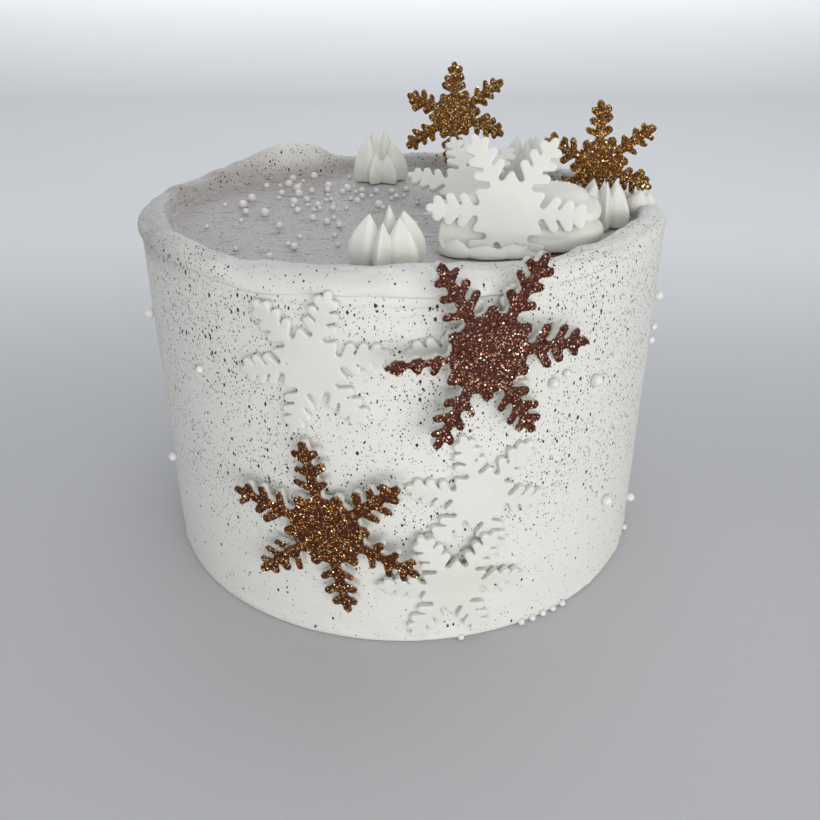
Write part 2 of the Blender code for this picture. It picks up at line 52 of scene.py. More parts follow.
# The frosted cake, as the part has it
FOOT_RADIUS = 77.0 * MM
WALL_TOP_RADIUS = 76.2 * MM
WALL_TOP_HEIGHT = 98.6 * MM
TOP_HEIGHT = 100.0 * MM
TOP_CROWN = 0.4 * MM
RIM_HEIGHT = 104.8 * MM
RIM_CREST_RADIUS = 72.4 * MM
RIM_INNER_RADIUS = 67.6 * MM
BAND_RADIUS = 76.8 * MM
FLOOR_OF_TOPPINGS = TOP_HEIGHT + TOP_CROWN

# The rim sits a little towards -X
RIM_ASIDE = -0.6 * MM

# The frosting's section: rings on the top, then steps in mm, out and up from each named place
TOP_RING_STEP = 6
TOP_RINGS_END = 62
TOP_CROWN_END = 66.0 * MM
RIM_SECTION = (
    ((RIM_INNER_RADIUS, TOP_HEIGHT), ((-2.2, 0.0), (-0.3, 0.1), (0.2, 0.5), (0.9, 2.8))),
    ((RIM_INNER_RADIUS, RIM_HEIGHT), ((1.3, -0.6), (1.9, 0.0), (3.4, 0.2))),
    ((RIM_CREST_RADIUS, RIM_HEIGHT), ((0.6, -0.1), (2.6, -1.1))),
    ((BAND_RADIUS, RIM_HEIGHT), ((-0.5, -2.6),)),
    ((BAND_RADIUS, WALL_TOP_HEIGHT), ((0.0, 2.2), (-0.05, 1.5), (-0.3, 1.2))),
    ((WALL_TOP_RADIUS, WALL_TOP_HEIGHT), ((-0.3, 0.9), (-0.25, 0.6), (0.0, 0.0))),
)
WALL_FINE_DROPS = (1.0, 2.0, 3.0, 4.0, 5.0, 6.5)
WALL_STEPS = 15
FOOT_SECTION = ((0.0, 1.6), (-0.25, 0.45), (-0.9, 0.0), (-6.0, 0.0))
ROUND_STEPS = 96
FROSTING_LEVELS = 2
MIDDLE_POINT = 0.001 * MM

# The rim's uneven height and the crease below it: azimuth, width in degrees, and height in mm
RIM_BUMPS = (
    (-146.5, 12.0, 6.2), (-126.0, 15.0, 1.8), (-160.0, 7.0, -0.9),
    (55.0, 26.0, 0.8), (-37.0, 13.0, -1.2), (-6.0, 18.0, 0.8),
)
CREASE_BUMPS = ((64.0, 26.0, 2.6), (-62.0, 22.0, 0.9), (-30.0, 11.0, -1.7))
# Ripples round the rim: how many, where they start in degrees, and height in mm
RIM_RIPPLES = ((7.0, 30.0, 0.35), (13.0, 0.0, 0.2))

# Uneven frosting. A wander is its waves across, its own layer, and its waves along Z where it has
# them. A reach is in mm: its middle above the wall's top, and its half width.
# The lip outside the crest
RIM_SHAPE_RADIUS = 50.0 * MM
RIM_SHAPE_BELOW = 4.0 * MM
LIP_FROM = 2.0 * MM
CREASE_WANDERS = ((1.1, (2.6, 4.0)), (0.5, (9.0, 9.0)))
CREASE_REACH = (1.0, 3.2)
LIP_PATCHES = (6.0, 15.0)
LIP_PRESSED = (-0.1, 0.35)
LIP_PRESS = 0.75
LIP_BEHIND = 0.15 * MM
LIP_REACH = (1.1, 1.3)
# The crest, the curl of cream and the inner edge
CREST_FROM = 0.5 * MM
CURL_AZIMUTH = -148.0
CURL_WIDTH = 14.0
CURL_DEPTH = 5.5 * MM
INNER_UP_TO = 1.0 * MM
INNER_FROM = 62.0 * MM
INNER_WAVES = 9.0
INNER_WAVE_DEPTH = 0.5 * MM
INNER_WANDER = (9.0, 0.0)
INNER_WANDER_DEPTH = 0.9 * MM
FACETS = (5.0, 22.0)
FACET_DROP = 1.5 * MM
FACET_INWARD = 0.8 * MM
SMEAR_RUN = 9.0
SMEAR_CLOSE = 0.9
SMEAR_LAYER = 3.0
SMEAR_DEPTH = 0.35 * MM
# The second fold, under the crease
FOLD_OUTSIDE = 60.0 * MM
FOLD_REACH = 6.0 * MM
FOLD_BELOW = 1.7 * MM
FOLD_WANDER = (5.0, 31.0)
FOLD_WANDER_DEPTH = 0.8 * MM
FOLD_AZIMUTH = -8.0
FOLD_WIDTH = 24.0
FOLD_HALF = 0.45
FOLD_DEPTH = 0.30 * MM
# The top's sweeps, and the wall's marks
SWEEP_UP_TO = 2.0 * MM
SWEEP_WAVES = (0.05, 0.30)
SWEEP_LAYER = 7.0
SWEEP_DEPTH = 0.12 * MM
SWEEP_FADE = (2.0 * MM, 10.0 * MM)
WALL_MARKS_FADE = (1.0 * MM, 5.0 * MM)
WALL_MARKS_ABOVE = 4.0 * MM
WALL_SHRINK = 0.10 * MM
WALL_BAND_DEPTH = 0.16 * MM
WALL_BANDS = (1.6, 0.0, 0.45)
WALL_SWELLS = (3.0, 0.0, 0.03)
FOOT_WANDER = (14.0, 0.0, 0.35)
FOOT_WANDER_DEPTH = 0.55 * MM
FOOT_WANDER_FADE = (5.0 * MM, 1.5 * MM)

# Sugar pearls: their radii, the share that is pressed in, and the cluster on the top
BIG_PEARL = 1.6 * MM
LARGE_PEARL = 1.35 * MM
SMALL_PEARL = 1.0 * MM
TINY_PEARL = 0.7 * MM
PEARL_PRESS = 0.35
PEARL_ROOM = 4.6 * MM
TOP_PEARLS = 36
CLUSTER_CENTRE = (-28.0 * MM, 9.0 * MM)
CLUSTER_SPREAD = (14.0 * MM, 22.0 * MM)
CLUSTER_RIGHT = 4.0 * MM
CLUSTER_SEED = 12
TINY_PEARLS = 34
TINY_SEED = 5
TINY_SPREAD = (16.0 * MM, 22.0 * MM)
TINY_BEHIND = 4.0 * MM
TINY_RIGHT = 6.0 * MM
TINY_FROM_RIM = 3.0 * MM
TINY_ROOM = 1.0 * MM
WALL_PEARLS = (
    # azimuth in degrees, height, radius
    (-71.5, 77.0 * MM, BIG_PEARL),
    (-66.0, 33.0 * MM, LARGE_PEARL),
    (-42.5, 74.0 * MM, SMALL_PEARL),
    (28.0, 75.2 * MM, LARGE_PEARL),
    (31.0, 76.8 * MM, SMALL_PEARL),
    (39.0, 72.0 * MM, BIG_PEARL),
    (69.5, 82.8 * MM, LARGE_PEARL),
    (70.0, 73.0 * MM, SMALL_PEARL),
    (67.5, 70.2 * MM, SMALL_PEARL),
    (48.2, 29.8 * MM, BIG_PEARL),
    (70.0, 14.0 * MM, LARGE_PEARL),
    (104.0, 66.0 * MM, LARGE_PEARL),
    (138.0, 31.0 * MM, BIG_PEARL),
    (171.0, 80.0 * MM, SMALL_PEARL),
    (-152.0, 47.0 * MM, LARGE_PEARL),
    (-118.0, 20.0 * MM, SMALL_PEARL),
)
FOOT_PEARL_AZIMUTHS = (11.5, 25.2, 28.0, 30.8, 33.6, 36.4, 71.0, 118.0, 163.0, -141.0, -96.0)
# Where a foot pearl's middle lies: shares of its radius, up from the foot and out from the wall
FOOT_PEARL_LEVEL = 1.05
FOOT_PEARL_OUT = 0.2
PEARL_SIDES = 20
PEARL_RINGS = 12

# Snowflakes: every length is a share of the flake's radius, and every angle is in degrees. A lobe
# between two arms is a place and a half width, and again further out. A stem is its half width at
# both ends, a finger its place on the stem and its reach, and finger_half its half width at both ends.
ARMS = 6
FONDANT = {
    "plate": 0.375,
    "lobe": (0.25, 0.135, 0.432, 0.040),
    "stem": (0.064, 0.052),
    "tip": 0.943,
    "fingers": ((0.440, 0.150), (0.615, 0.134), (0.785, 0.094)),
    "finger_half": (0.054, 0.056),
    "uneven": 0.05,
    "slant": 55.0,
}
GLITTER = {
    "plate": 0.385,
    "lobe": (0.30, 0.075, 0.405, 0.055),
    "stem": (0.057, 0.045),
    "tip": 0.957,
    "fingers": ((0.470, 0.152), (0.645, 0.138), (0.812, 0.100)),
    "finger_half": (0.041, 0.038),
    "slant": 60.0,
    "uneven": 0.22,
}
BAR_SIDES = 20
PLATE_SIDES = 48
# An arm begins at this share of the plate's radius, and a finger's fatness is drawn between these
ARM_ROOT = 0.8
FINGER_FATNESS = (-0.6, 1.0)
# The upper copper flake's thin arm: shares of a usual arm's sizes, and knobs as place and half width
THIN_ARMS = {"glitter_flake_upper": 2}
THIN_ARM_SHARE = 0.55
THIN_STEM_SHARE = 0.55
THIN_FINGER_SHARE = 0.8
THIN_ARM_KNOBS = ((0.56, 0.038), (0.69, 0.056), (0.87, 0.066))
KNOB_LENGTH = 0.01
# How thick the flakes are, and how they are fused
FONDANT_THICKNESS = 1.9 * MM
FONDANT_FUSE = (0.28 * MM, 2)
GLITTER_THICKNESS = 2.7 * MM
GLITTER_FUSE = (0.35 * MM, 3)
# Glitter fades in where the skin turns this much towards the front
GLITTER_EDGE = (0.04, 0.34)
# A bent flake's back lies this far out from the wall, and follows the rim's band from this height
BEND_GAP = -0.2 * MM
BAND_START = 93.0 * MM

# Fondant flakes pressed round the wall: azimuth, height, turn, radius, and how far the upper part
# stands off to clear the flake below it, from which height
WALL_FLAKES = {
    "fondant_flake_upper": (-16.3, 83.0 * MM, 73.0, 19.3 * MM, 0.0, 0.0),
    "fondant_flake_behind": (14.8, 87.5 * MM, 61.0, 19.6 * MM, 0.0, 0.0),
    "fondant_flake_middle": (14.1, 47.0 * MM, 46.0, 19.3 * MM, 0.0, 0.0),
    "fondant_flake_foot": (9.3, 20.6 * MM, 57.5, 19.8 * MM, 1.8 * MM, 17.0 * MM),
}
LIFT_RUN = 12.0 * MM

# Flat flakes: centre in mm, azimuth of the face, backward lean, turn, radius
GLITTER_FLAKES = {
    "glitter_flake_upper": ((18.6, -79.3, 88.1), 19.4, 0.7, 59.5, 25.0 * MM),
    "glitter_flake_lower": ((-19.6, -76.65, 38.4), -17.6, -1.2, 40.9, 26.1 * MM),
    "glitter_flake_back": ((18.1, 56.9, 120.5), -21.3, 36.1, 41.6, 20.0 * MM),
    "glitter_flake_right": ((57.4, -1.2, 114.1), 3.5, -9.2, 36.7, 18.3 * MM),
}
LEANING_FLAKES = {
    "fondant_flake_front": ((26.0, -44.0, 110.6), -7.5, 15.0, 58.5, 20.8 * MM),
    "fondant_flake_rear": ((19.7, 2.0, 106.8), -6.0, 50.0, 48.0, 19.5 * MM),
}

# Piped stars: centre in mm, foot radius, height, and each petal's azimuth, width and height share
STARS = {
    "piped_star_front": (
        (-4.0, -53.0), 9.2 * MM, 13.4 * MM,
        ((-88, 0.50, 0.92), (-12, 0.30, 0.84), (48, 0.50, 0.90), (102, 0.42, 0.96), (172, 0.30, 1.0)),
    ),
    "piped_star_back": (
        (-8.0, 44.0), 9.0 * MM, 17.0 * MM,
        ((-75, 0.46, 0.90), (-20, 0.36, 0.58), (35, 0.38, 0.54), (95, 0.44, 0.78), (155, 0.40, 1.0),
         (215, 0.44, 0.97)),
    ),
    "piped_star_right": (
        (56.0, -16.8), 7.9 * MM, 13.0 * MM,
        ((-60, 0.34, 0.94), (-5, 0.30, 1.0), (50, 0.34, 0.92), (110, 0.36, 0.96), (170, 0.32, 0.90),
         (230, 0.34, 0.97)),
    ),
    "piped_star_rear": (
        (41.5, 41.5), 8.2 * MM, 16.0 * MM,
        ((-70, 0.44, 0.96), (0, 0.40, 0.92), (70, 0.44, 1.0), (140, 0.38, 0.94), (215, 0.42, 0.97)),
    ),
}
# A petal: shares of the star's foot radius, then its mesh, its form from belly to tip, and its ridge
PETAL_PLACE = 0.54
PETAL_DEPTH = 0.40
PETAL_LEAN = 0.10
PETAL_NARROWING = 0.88
PETAL_RIDGE = 0.32
PETAL_SIDES = 48
PETAL_RINGS = 32
PETAL_FORM = (0.80, 2.2, 0.6)
PETAL_SHARPNESS = 7
PETAL_HOLLOW = 0.35
STAR_HEART = 0.42
STAR_HEART_WIDTH = 0.50
STAR_FUSE = (0.20 * MM, 2)

# Round dollops: centre in mm, foot radius, height, how far the top leans, the flake on it
DOLLOPS = {
    "piped_dollop_left": ((20.3, -42.6), 12.2 * MM, 15.0 * MM, (1.0, 1.2), "fondant_flake_front"),
    "piped_dollop_right": ((38.6, -34.4), 13.6 * MM, 14.8 * MM, (1.0, 2.6), "fondant_flake_front"),
    "piped_dollop_rear": ((22.0, 12.5), 9.6 * MM, 13.8 * MM, (0.0, 0.0), "fondant_flake_rear"),
}
# Little pulled dabs stuck to the frosting: place in mm, radius, height
CREAM_DABS = (((67.6, -9.5, 102.2), 3.4 * MM, 6.4 * MM), ((71.2, -6.0, 102.0), 2.9 * MM, 5.2 * MM),
              ((17.8, 45.5, 100.0), 3.0 * MM, 4.0 * MM))
# Short petals that hide the leaning flake's foot: place in mm, half width, height, azimuth
SKIRT_PETALS = (
    ((12.6, -46.6), 4.8 * MM, 4.2 * MM, -38.0),
    ((20.0, -48.6), 6.2 * MM, 3.0 * MM, -12.0),
    ((27.6, -48.0), 5.6 * MM, 3.3 * MM, 12.0),
    ((33.6, -46.4), 5.0 * MM, 2.2 * MM, 30.0),
)
SKIRT_DEPTH = 2.2 * MM
SKIRT_LEAN = 0.9 * MM
SKIRT_RIDGE = 0.08
DAB_PULL = 0.8 * MM
DAB_FUSE = (0.30 * MM, 3)
# A dollop's section: shares of its foot radius and its height
ROUND_DOLLOP = ((0.0, 1.0), (0.42, 0.94), (0.76, 0.73), (0.95, 0.42), (1.0, 0.18), (0.93, 0.0))
LAYERED_DOLLOP = (
    (0.0, 1.0), (0.34, 0.985), (0.56, 0.91), (0.64, 0.82), (0.66, 0.79), (0.84, 0.735), (0.95, 0.62),
    (0.94, 0.52), (0.86, 0.455), (0.87, 0.44), (0.98, 0.35), (1.0, 0.18), (0.94, 0.0),
)
DOLLOP_STEPS = 24
DOLLOP_LEVELS = 2
DOLLOP_WAVES = (3, 9.0)
DOLLOP_WAVE_DEPTH = 0.025
DOLLOP_FUSE = (0.28 * MM, 2)
# The bed that holds a leaning flake: how far it reaches past the flake, and where it begins
BED_OUT = 1.6 * MM
BED_FADE = (5.0 * MM, 2.0 * MM)

# The camera
CAMERA_PLACE = (0.0, -241.6 * MM, 159.2 * MM)
CAMERA_DOWN = math.radians(27.73)
CAMERA_RIGHT = math.radians(0.453)
CAMERA_LENS = 35.0
CAMERA_SENSOR = 36.0
CAMERA_NEAREST = 0.01

# Lights: place, what each faces, size, watts and colour
SURROUND = (0.94, 0.965, 1.0, 1.0)
SURROUND_STRENGTH = 0.52
LIGHTS = {
    "key": ((0.55, -1.0, 0.42), (0.0, 0.0, 0.06), (0.9, 0.9), 2.65, (1.0, 0.99, 0.96)),
    "low_front": ((0.15, -0.75, 0.10), (0.0, 0.0, 0.03), (0.9, 0.3), 2.9, (1.0, 0.99, 0.97)),
    "overhead": ((0.1, 0.25, 1.3), (0.0, 0.0, 0.06), (0.8, 0.8), 2.75, (0.95, 0.97, 1.0)),
    "backdrop": ((0.0, 1.6, 1.1), (0.0, 3.2, 0.5), (2.4, 1.0), 27.0, (0.97, 0.985, 1.0)),
}

# The floor and the backdrop that it runs up into
FLOOR_HALF_WIDTH = 3.0
FLOOR_NEAR_END = -2.0
FLOOR_LENGTH = 3.2
CURVE_STEPS = 10
CURVE_RUN = 0.06
CURVE_RISE = 0.012
BACKDROP_HEIGHT = 2.6
FLOOR_CLOUDS = (2.0, 2.0)
FLOOR_NEAR_TONES = ((0.49, 0.495, 0.505, 1.0), (0.53, 0.53, 0.54, 1.0))
FLOOR_FAR_TONES = ((0.82, 0.84, 0.86, 1.0), (0.86, 0.87, 0.88, 1.0))
FLOOR_FADE = (-0.02, 0.36)
FLOOR_ROUGHNESS = 0.8

# The spots of the splatter: how rare wide ones are, the smallest one's share, soft edge, ragged waves
SPOT_RARITY = 1.5
SMALLEST_SPOT = 0.35
SPOT_EDGE = 0.03
RAGGED_WAVES = 1500.0

# Where the splatter lies. A fade goes from its first place to its second, and where it has four
# values, from the third share to the fourth.
PATCHES = (38.0, 2.0)
SPLATTER_RISE = (12.0 * MM, 52.0 * MM, 0.16, 1.0)
SPLATTER_PATCHES = (0.34, 0.56, 0.50, 1.0)
SPLATTER_ASIDE = 10.0 * MM
FRONT_RIM_WIDTH = (40.0 * MM, 24.0 * MM)
FRONT_RIM_HEIGHT = (96.5 * MM, 99.0 * MM)
FRONT_RIM_DEPTH = (-40.0 * MM, -60.0 * MM)
FRONT_RIM_SHARE = 0.22
WIDE_DROP_THINNING = (20.0 * MM, 70.0 * MM, 1.0, 0.88)
DROP_STRETCH = (1.0, 1.0, 0.68)
DROP_SLANT = 28.0
DASH_STRETCH = (0.22, 1.0, 1.0)
# Layers of spots: cells to a metre, a spot's size, the share of cells, strength, ragged edge
SMALL_DROPS = ((1900.0, 0.34, 1.0, 0.70, 0.1 * MM), (1250.0, 0.33, 1.0, 0.92, 0.1 * MM))
WIDE_DROPS = ((660.0, 0.28, 1.0, 1.0, 0.2 * MM), (270.0, 0.135, 0.34, 1.0, 0.4 * MM))
TOP_DASHES = ((520.0, 0.30, 0.75, 0.75, 0.2 * MM),)

# The buttercream's colours, and where the taupe and the wash lie, each partly painted shade; clouds are waves
# and detail
CREAM_CLOUDS = (22.0, 3.0)
CREAM_TONES = ((0.735, 0.725, 0.690, 1.0), (0.775, 0.770, 0.735, 1.0))
SPECK_TONES = ((0.012, 0.009, 0.008, 1.0), (0.036, 0.026, 0.020, 1.0))
# The top's taupe is partly a real wash and partly painted shade, darker where the top faces away from the
# lights
TAUPE_AND_SHADE_TONES = ((0.460, 0.432, 0.412, 1.0), (0.320, 0.295, 0.282, 1.0))
TAUPE_AND_SHADE_SHARE = 0.92
TAUPE_AND_SHADE_RADIUS = (72.5 * MM, 66.0 * MM)
TAUPE_AND_SHADE_FROM = (98.5 * MM, 99.8 * MM)
TAUPE_AND_SHADE_UP_TO = (107.5 * MM, 100.8 * MM)
SMEAR_STRETCH = (0.20, 1.0, 1.0)
SMEARS = (900.0, 4.0)
SMEAR_EDGES = (0.46, 0.80)
# A darker taupe wash on the left of the rim and the top of the wall, partly painted shade where the cake lies
# away from the key light; its tone also lies in clouds on the rim's top
WASH_AND_SHADE_TONE = (0.44, 0.405, 0.385, 1.0)
LEFT_WASH_AND_SHADE = (-40.0 * MM, -70.0 * MM)
LEFT_WASH_AND_SHADE_HIGH = (94.0 * MM, 101.5 * MM)
LEFT_WASH_AND_SHADE_SHARE = 0.72
CLOUD_HIGH = (100.0 * MM, 104.0 * MM)
CLOUD_EDGES = (0.50, 0.66)
CLOUD_SHARE = 0.26
BUTTERCREAM_ROUGHNESS = (0.55, 0.38)

# The buttercream's fine relief: waves and detail, shares of the height, strength and depth
SCRAPE_FLATTENING = 0.05
SCRAPE_SLOPE = 0.9
SCRAPE_LINES = (1300.0, 3.0)
SCRAPE_SHARE = 0.6
CREAM_GRAIN = (900.0, 3.0)
CREAM_GRAIN_SHARE = 0.4
SPECK_STANDS = 0.25
BUTTERCREAM_RELIEF = (0.45, 0.4 * MM)

# Piped cream and fondant: two tones, roughness, and the grain's waves
PIPED_LOOK = ((0.80, 0.795, 0.745, 1.0), (0.755, 0.75, 0.68, 1.0), 0.42, 500.0)
FONDANT_LOOK = ((0.755, 0.755, 0.715, 1.0), (0.735, 0.73, 0.675, 1.0), 0.45, 1400.0)
SMOOTH_CLOUDS = (70.0, 2.0)
SMOOTH_EDGES = (0.35, 0.65)
SMOOTH_DETAIL = 3.0
SMOOTH_RELIEF = (0.22, 0.3 * MM)
GLOSS_EDGES = (0.3, 0.7)
GLOSS_RANGE = 0.06
CREAM_GLOW = 0.4
CREAM_GLOW_REACH = (4.0 * MM, 3.6 * MM, 2.8 * MM)
FONDANT_SPECKS = (300.0, 0.09, 0.05, 0.4 * MM)
FONDANT_SPECK_TONE = (0.06, 0.042, 0.032, 1.0)

# The pearls' sugar coat
PEARL_CLOUDS = (260.0, 1.0)
PEARL_TONES = ((0.72, 0.69, 0.67, 1.0), (0.84, 0.82, 0.80, 1.0))
PEARL_ROUGHNESS = (0.22, 0.30)
PEARL_COAT = 0.6
PEARL_COAT_ROUGHNESS = 0.12
PEARL_GLOW = 0.2
PEARL_GLOW_REACH = (1.0 * MM, 1.0 * MM, 1.0 * MM)

# The casts under the glitter
CASTS = {
    "copper_glitter": ("copper_cast", (0.10, 0.030, 0.020, 1.0)),
    "gold_glitter": ("gold_cast", (0.14, 0.055, 0.018, 1.0)),
}
CAST_SIDE_TONE = (0.74, 0.735, 0.70, 1.0)
CAST_CELLS = 2200.0
CAST_DARKENING = 0.4
CAST_ROUGHNESS = (0.25, 0.6)
CAST_METALLIC = 0.6
CAST_RELIEF = (0.6, 0.2 * MM)

# The foil grains: dark, middle and bright tones, and which draws turn to the next tone
GRAIN_TONES = {
    "copper_grains": ((0.10, 0.024, 0.014, 1.0), (0.30, 0.100, 0.056, 1.0), (1.0, 0.78, 0.56, 1.0)),
    "amber_grains": ((0.12, 0.034, 0.008, 1.0), (0.44, 0.165, 0.026, 1.0), (1.0, 0.72, 0.32, 1.0)),
    "gold_grains": ((0.18, 0.062, 0.008, 1.0), (0.68, 0.300, 0.040, 1.0), (1.0, 0.78, 0.36, 1.0)),
}
GRAIN_MIDDLE_FROM = (0.10, 0.85)
GRAIN_BRIGHT_FROM = (0.84, 0.90)
GRAIN_ROUGHNESS = (0.36, 0.16)
GRAIN_METALLIC = (0.97, 0.60)
SPARKLE_TONES = {"rosy_sparkles": (1.0, 0.72, 0.52, 1.0), "golden_sparkles": (1.0, 0.78, 0.40, 1.0)}
SPARKLE_DARKENING = 0.55
SPARKLE_ROUGHNESS = (0.30, 0.14)
SPARKLE_METALLIC = 0.75
GLITTER_LOOKS = {
    "glitter_flake_upper": ("copper_glitter", "copper_grains", "rosy_sparkles"),
    "glitter_flake_lower": ("copper_glitter", "amber_grains", "golden_sparkles"),
    "glitter_flake_back": ("gold_glitter", "gold_grains", "golden_sparkles"),
    "glitter_flake_right": ("gold_glitter", "gold_grains", "golden_sparkles"),
}

# The foil grains' size, how many lie on a square metre, and how they differ
GRAIN_DENSITY = 6.4e6
GRAIN_SIZE = 0.42 * MM
SPARKLE_DENSITY = 3.2e5
SPARKLE_SIZES = {"copper_glitter": 0.56 * MM, "gold_glitter": 0.80 * MM}
GRAIN_SIDES = 4
GRAIN_DEPTH = 0.2
GRAIN_TILT = 0.75
GRAIN_GROWTH = (0.65, 1.25)
FLAKE_SEED_STEP = 10
SPARKLE_SEED_STEP = 4


# Small helpers


def smooth(low, high, value):
    """Rises from 0 at low to 1 at high, on whichever side high lies."""
    share = min(max((value - low) / (high - low), 0.0), 1.0)
    return share * share * (3.0 - 2.0 * share)


def bump(degrees, middle, width):
    """A rounded bump round the cake, 1 at its middle."""
    away = (degrees - middle + 180.0) % 360.0 - 180.0
    return math.exp(-((away / width) ** 2))


def azimuth_of(x, y):
    """Degrees round the cake from the front, towards +X."""
    return math.degrees(math.atan2(x, -y))


def wander(place, across, layer=0.0, along=1.0):
    """A smooth wander from -1 to 1: its waves across and along Z, and a layer of its own."""
    return noise.noise(Vector((place.x * across, place.y * across, place.z * along + layer)))


def turned_about_z(degrees):
    """The turn of a piece about the Z axis."""
    return Matrix.Rotation(math.radians(degrees), 3, "Z")


def wall_radius(z):
    """The smooth wall's radius at a height."""
    return FOOT_RADIUS + (WALL_TOP_RADIUS - FOOT_RADIUS) * z / WALL_TOP_HEIGHT


def on_wall(degrees, z, out=0.0):
    """A point on the wall, or that far outside it."""
    turn = math.radians(degrees)
    radius = wall_radius(z) + out
    return Vector((radius * math.sin(turn), -radius * math.cos(turn), z))


def mesh_of(bm, name):
    """Writes a bmesh to a new mesh and frees it."""
    mesh = bpy.data.meshes.new(name)
    bm.to_mesh(mesh)
    bm.free()
    return mesh


def add_object(name, mesh):
    """Wraps a mesh in an object of the scene."""
    item = bpy.data.objects.new(name, mesh)
    bpy.context.scene.collection.objects.link(item)
    return item


def apply_modifiers(item):
    """Replaces the object's mesh by its evaluated shape."""
    bpy.context.view_layer.update()
    graph = bpy.context.evaluated_depsgraph_get()
    mesh = bpy.data.meshes.new_from_object(item.evaluated_get(graph))
    item.modifiers.clear()
    old = item.data
    item.data = mesh
    bpy.data.meshes.remove(old)
    mesh.name = item.name
    return item


def fuse(item, voxel, rounds):
    """Melts overlapping closed shapes into one skin and softens its edges."""
    remesh = item.modifiers.new("fuse", "REMESH")
    remesh.mode = "VOXEL"
    remesh.voxel_size = voxel
    soften = item.modifiers.new("soften", "SMOOTH")
    soften.iterations = rounds
    soften.factor = SOFTENING
    return apply_modifiers(item)


def subdivide(item, levels):
    """Rounds a coarse shape off."""
    rounder = item.modifiers.new("rounder", "SUBSURF")
    rounder.levels = rounder.render_levels = levels
    return apply_modifiers(item)


def turned_body(section, steps):
    """A closed skin turned about the Z axis from half a section, as a bmesh."""
    bm = bmesh.new()
    points = [bm.verts.new((radius, 0.0, z)) for radius, z in section]
    edges = [bm.edges.new(pair) for pair in zip(points, points[1:])]
    bmesh.ops.spin(
        bm, geom=points + edges, cent=(0, 0, 0), axis=(0, 0, 1), angle=2 * math.pi, steps=steps,
        use_merge=True,
    )
    bmesh.ops.remove_doubles(bm, verts=bm.verts[:], dist=MERGE_GAP)
    bmesh.ops.recalc_face_normals(bm, faces=bm.faces[:])
    return bm


def finish_piece(item, mat, node, soft=True):
    """Gives a piece its material, and lets it stand for its CAD node and ride with the part."""
    item.data.materials.clear()
    item.data.materials.append(mat)
    if soft:
        item.data.shade_smooth()
    else:
        item.data.shade_flat()
    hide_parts(node)
    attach(item, "root")
    return item


# Materials


def make_material(name):
    """A material with its Principled shader."""
    mat = bpy.data.materials.new(name)
    mat.use_nodes = True
    return mat, mat.node_tree, mat.node_tree.nodes["Principled BSDF"]


def fill_inputs(tree, node, values):
    """Gives a node's inputs values or links; i and a number stand for that input."""
    for key, value in values.items():
        socket = node.inputs[int(key[1:])] if key[0] == "i" and key[1:].isdigit() else node.inputs[key]
        if isinstance(value, bpy.types.NodeSocket):
            tree.links.new(value, socket)
        else:
            socket.default_value = value


def add_node(tree, kind, settings=None, **values):
    """Adds a node, sets its properties and fills its inputs."""
    node = tree.nodes.new(kind)
    for key, value in (settings or {}).items():
        setattr(node, key, value)
    fill_inputs(tree, node, values)
    return node


def math_node(tree, operation, first, second=0.0, third=0.0):
    """The output of a Math node."""
    node = add_node(tree, "ShaderNodeMath", {"operation": operation}, i0=first, i1=second, i2=third)
    return node.outputs[0]


def ramp_between(tree, value, low, high, to_low=0.0, to_high=1.0):
    """A smooth rise of a value from low to high."""
    node = add_node(
        tree, "ShaderNodeMapRange", {"interpolation_type": "SMOOTHSTEP"},
        i0=value, i1=low, i2=high, i3=to_low, i4=to_high,
    )
    return node.outputs[0]


def mix_colours(tree, factor, first, second):
    """The output of a colour mix."""
    node = add_node(tree, "ShaderNodeMix", {"data_type": "RGBA"}, i0=factor, i6=first, i7=second)
    return node.outputs[2]


def new_group(name, inputs, outputs):
    """An empty shader group with named inputs and outputs."""
    group = bpy.data.node_groups.new(name, "ShaderNodeTree")
    for label, kind, default in inputs:
        socket = group.interface.new_socket(label, in_out="INPUT", socket_type=kind)
        if default is not None:
            socket.default_value = default
    for label, kind in outputs:
        group.interface.new_socket(label, in_out="OUTPUT", socket_type=kind)
    return group, group.nodes.new("NodeGroupInput"), group.nodes.new("NodeGroupOutput")


def make_splatter_group():
    """Round spots of uneven size, scattered one to a cell, with ragged edges."""
    group, given, out = new_group(
        "splatter",
        (("Vector", "NodeSocketVector", None), ("Scale", "NodeSocketFloat", 400.0),
         ("Size", "NodeSocketFloat", 0.12), ("Amount", "NodeSocketFloat", 0.7),
         ("Ragged", "NodeSocketFloat", 0.0004)),
        (("Mask", "NodeSocketFloat"),),
    )
    ripple = add_node(group, "ShaderNodeTexNoise", Vector=given.outputs["Vector"], Scale=RAGGED_WAVES)
    centred = add_node(
        group, "ShaderNodeVectorMath", {"operation": "SUBTRACT"},
        i0=ripple.outputs["Color"], i1=(0.5, 0.5, 0.5),
    )
    shift = add_node(group, "ShaderNodeVectorMath", {"operation": "SCALE"}, i0=centred.outputs[0])
    group.links.new(given.outputs["Ragged"], shift.inputs["Scale"])
    place = add_node(
        group, "ShaderNodeVectorMath", {"operation": "ADD"}, i0=given.outputs["Vector"], i1=shift.outputs[0]
    )
    cells = add_node(group, "ShaderNodeTexVoronoi", Vector=place.outputs[0], Scale=given.outputs["Scale"])
    drawn = add_node(group, "ShaderNodeSeparateColor", Color=cells.outputs["Color"])
    wide = math_node(group, "POWER", drawn.outputs[0], SPOT_RARITY)
    wide = math_node(group, "MULTIPLY_ADD", wide, 1.0 - SMALLEST_SPOT, SMALLEST_SPOT)
    wide = math_node(group, "MULTIPLY", wide, given.outputs["Size"])
    there = math_node(group, "LESS_THAN", drawn.outputs[1], given.outputs["Amount"])
    depth = math_node(group, "SUBTRACT", wide, cells.outputs["Distance"])
    spot = ramp_between(group, depth, 0.0, SPOT_EDGE)
    group.links.new(math_node(group, "MULTIPLY", spot, there), out.inputs["Mask"])
    return group


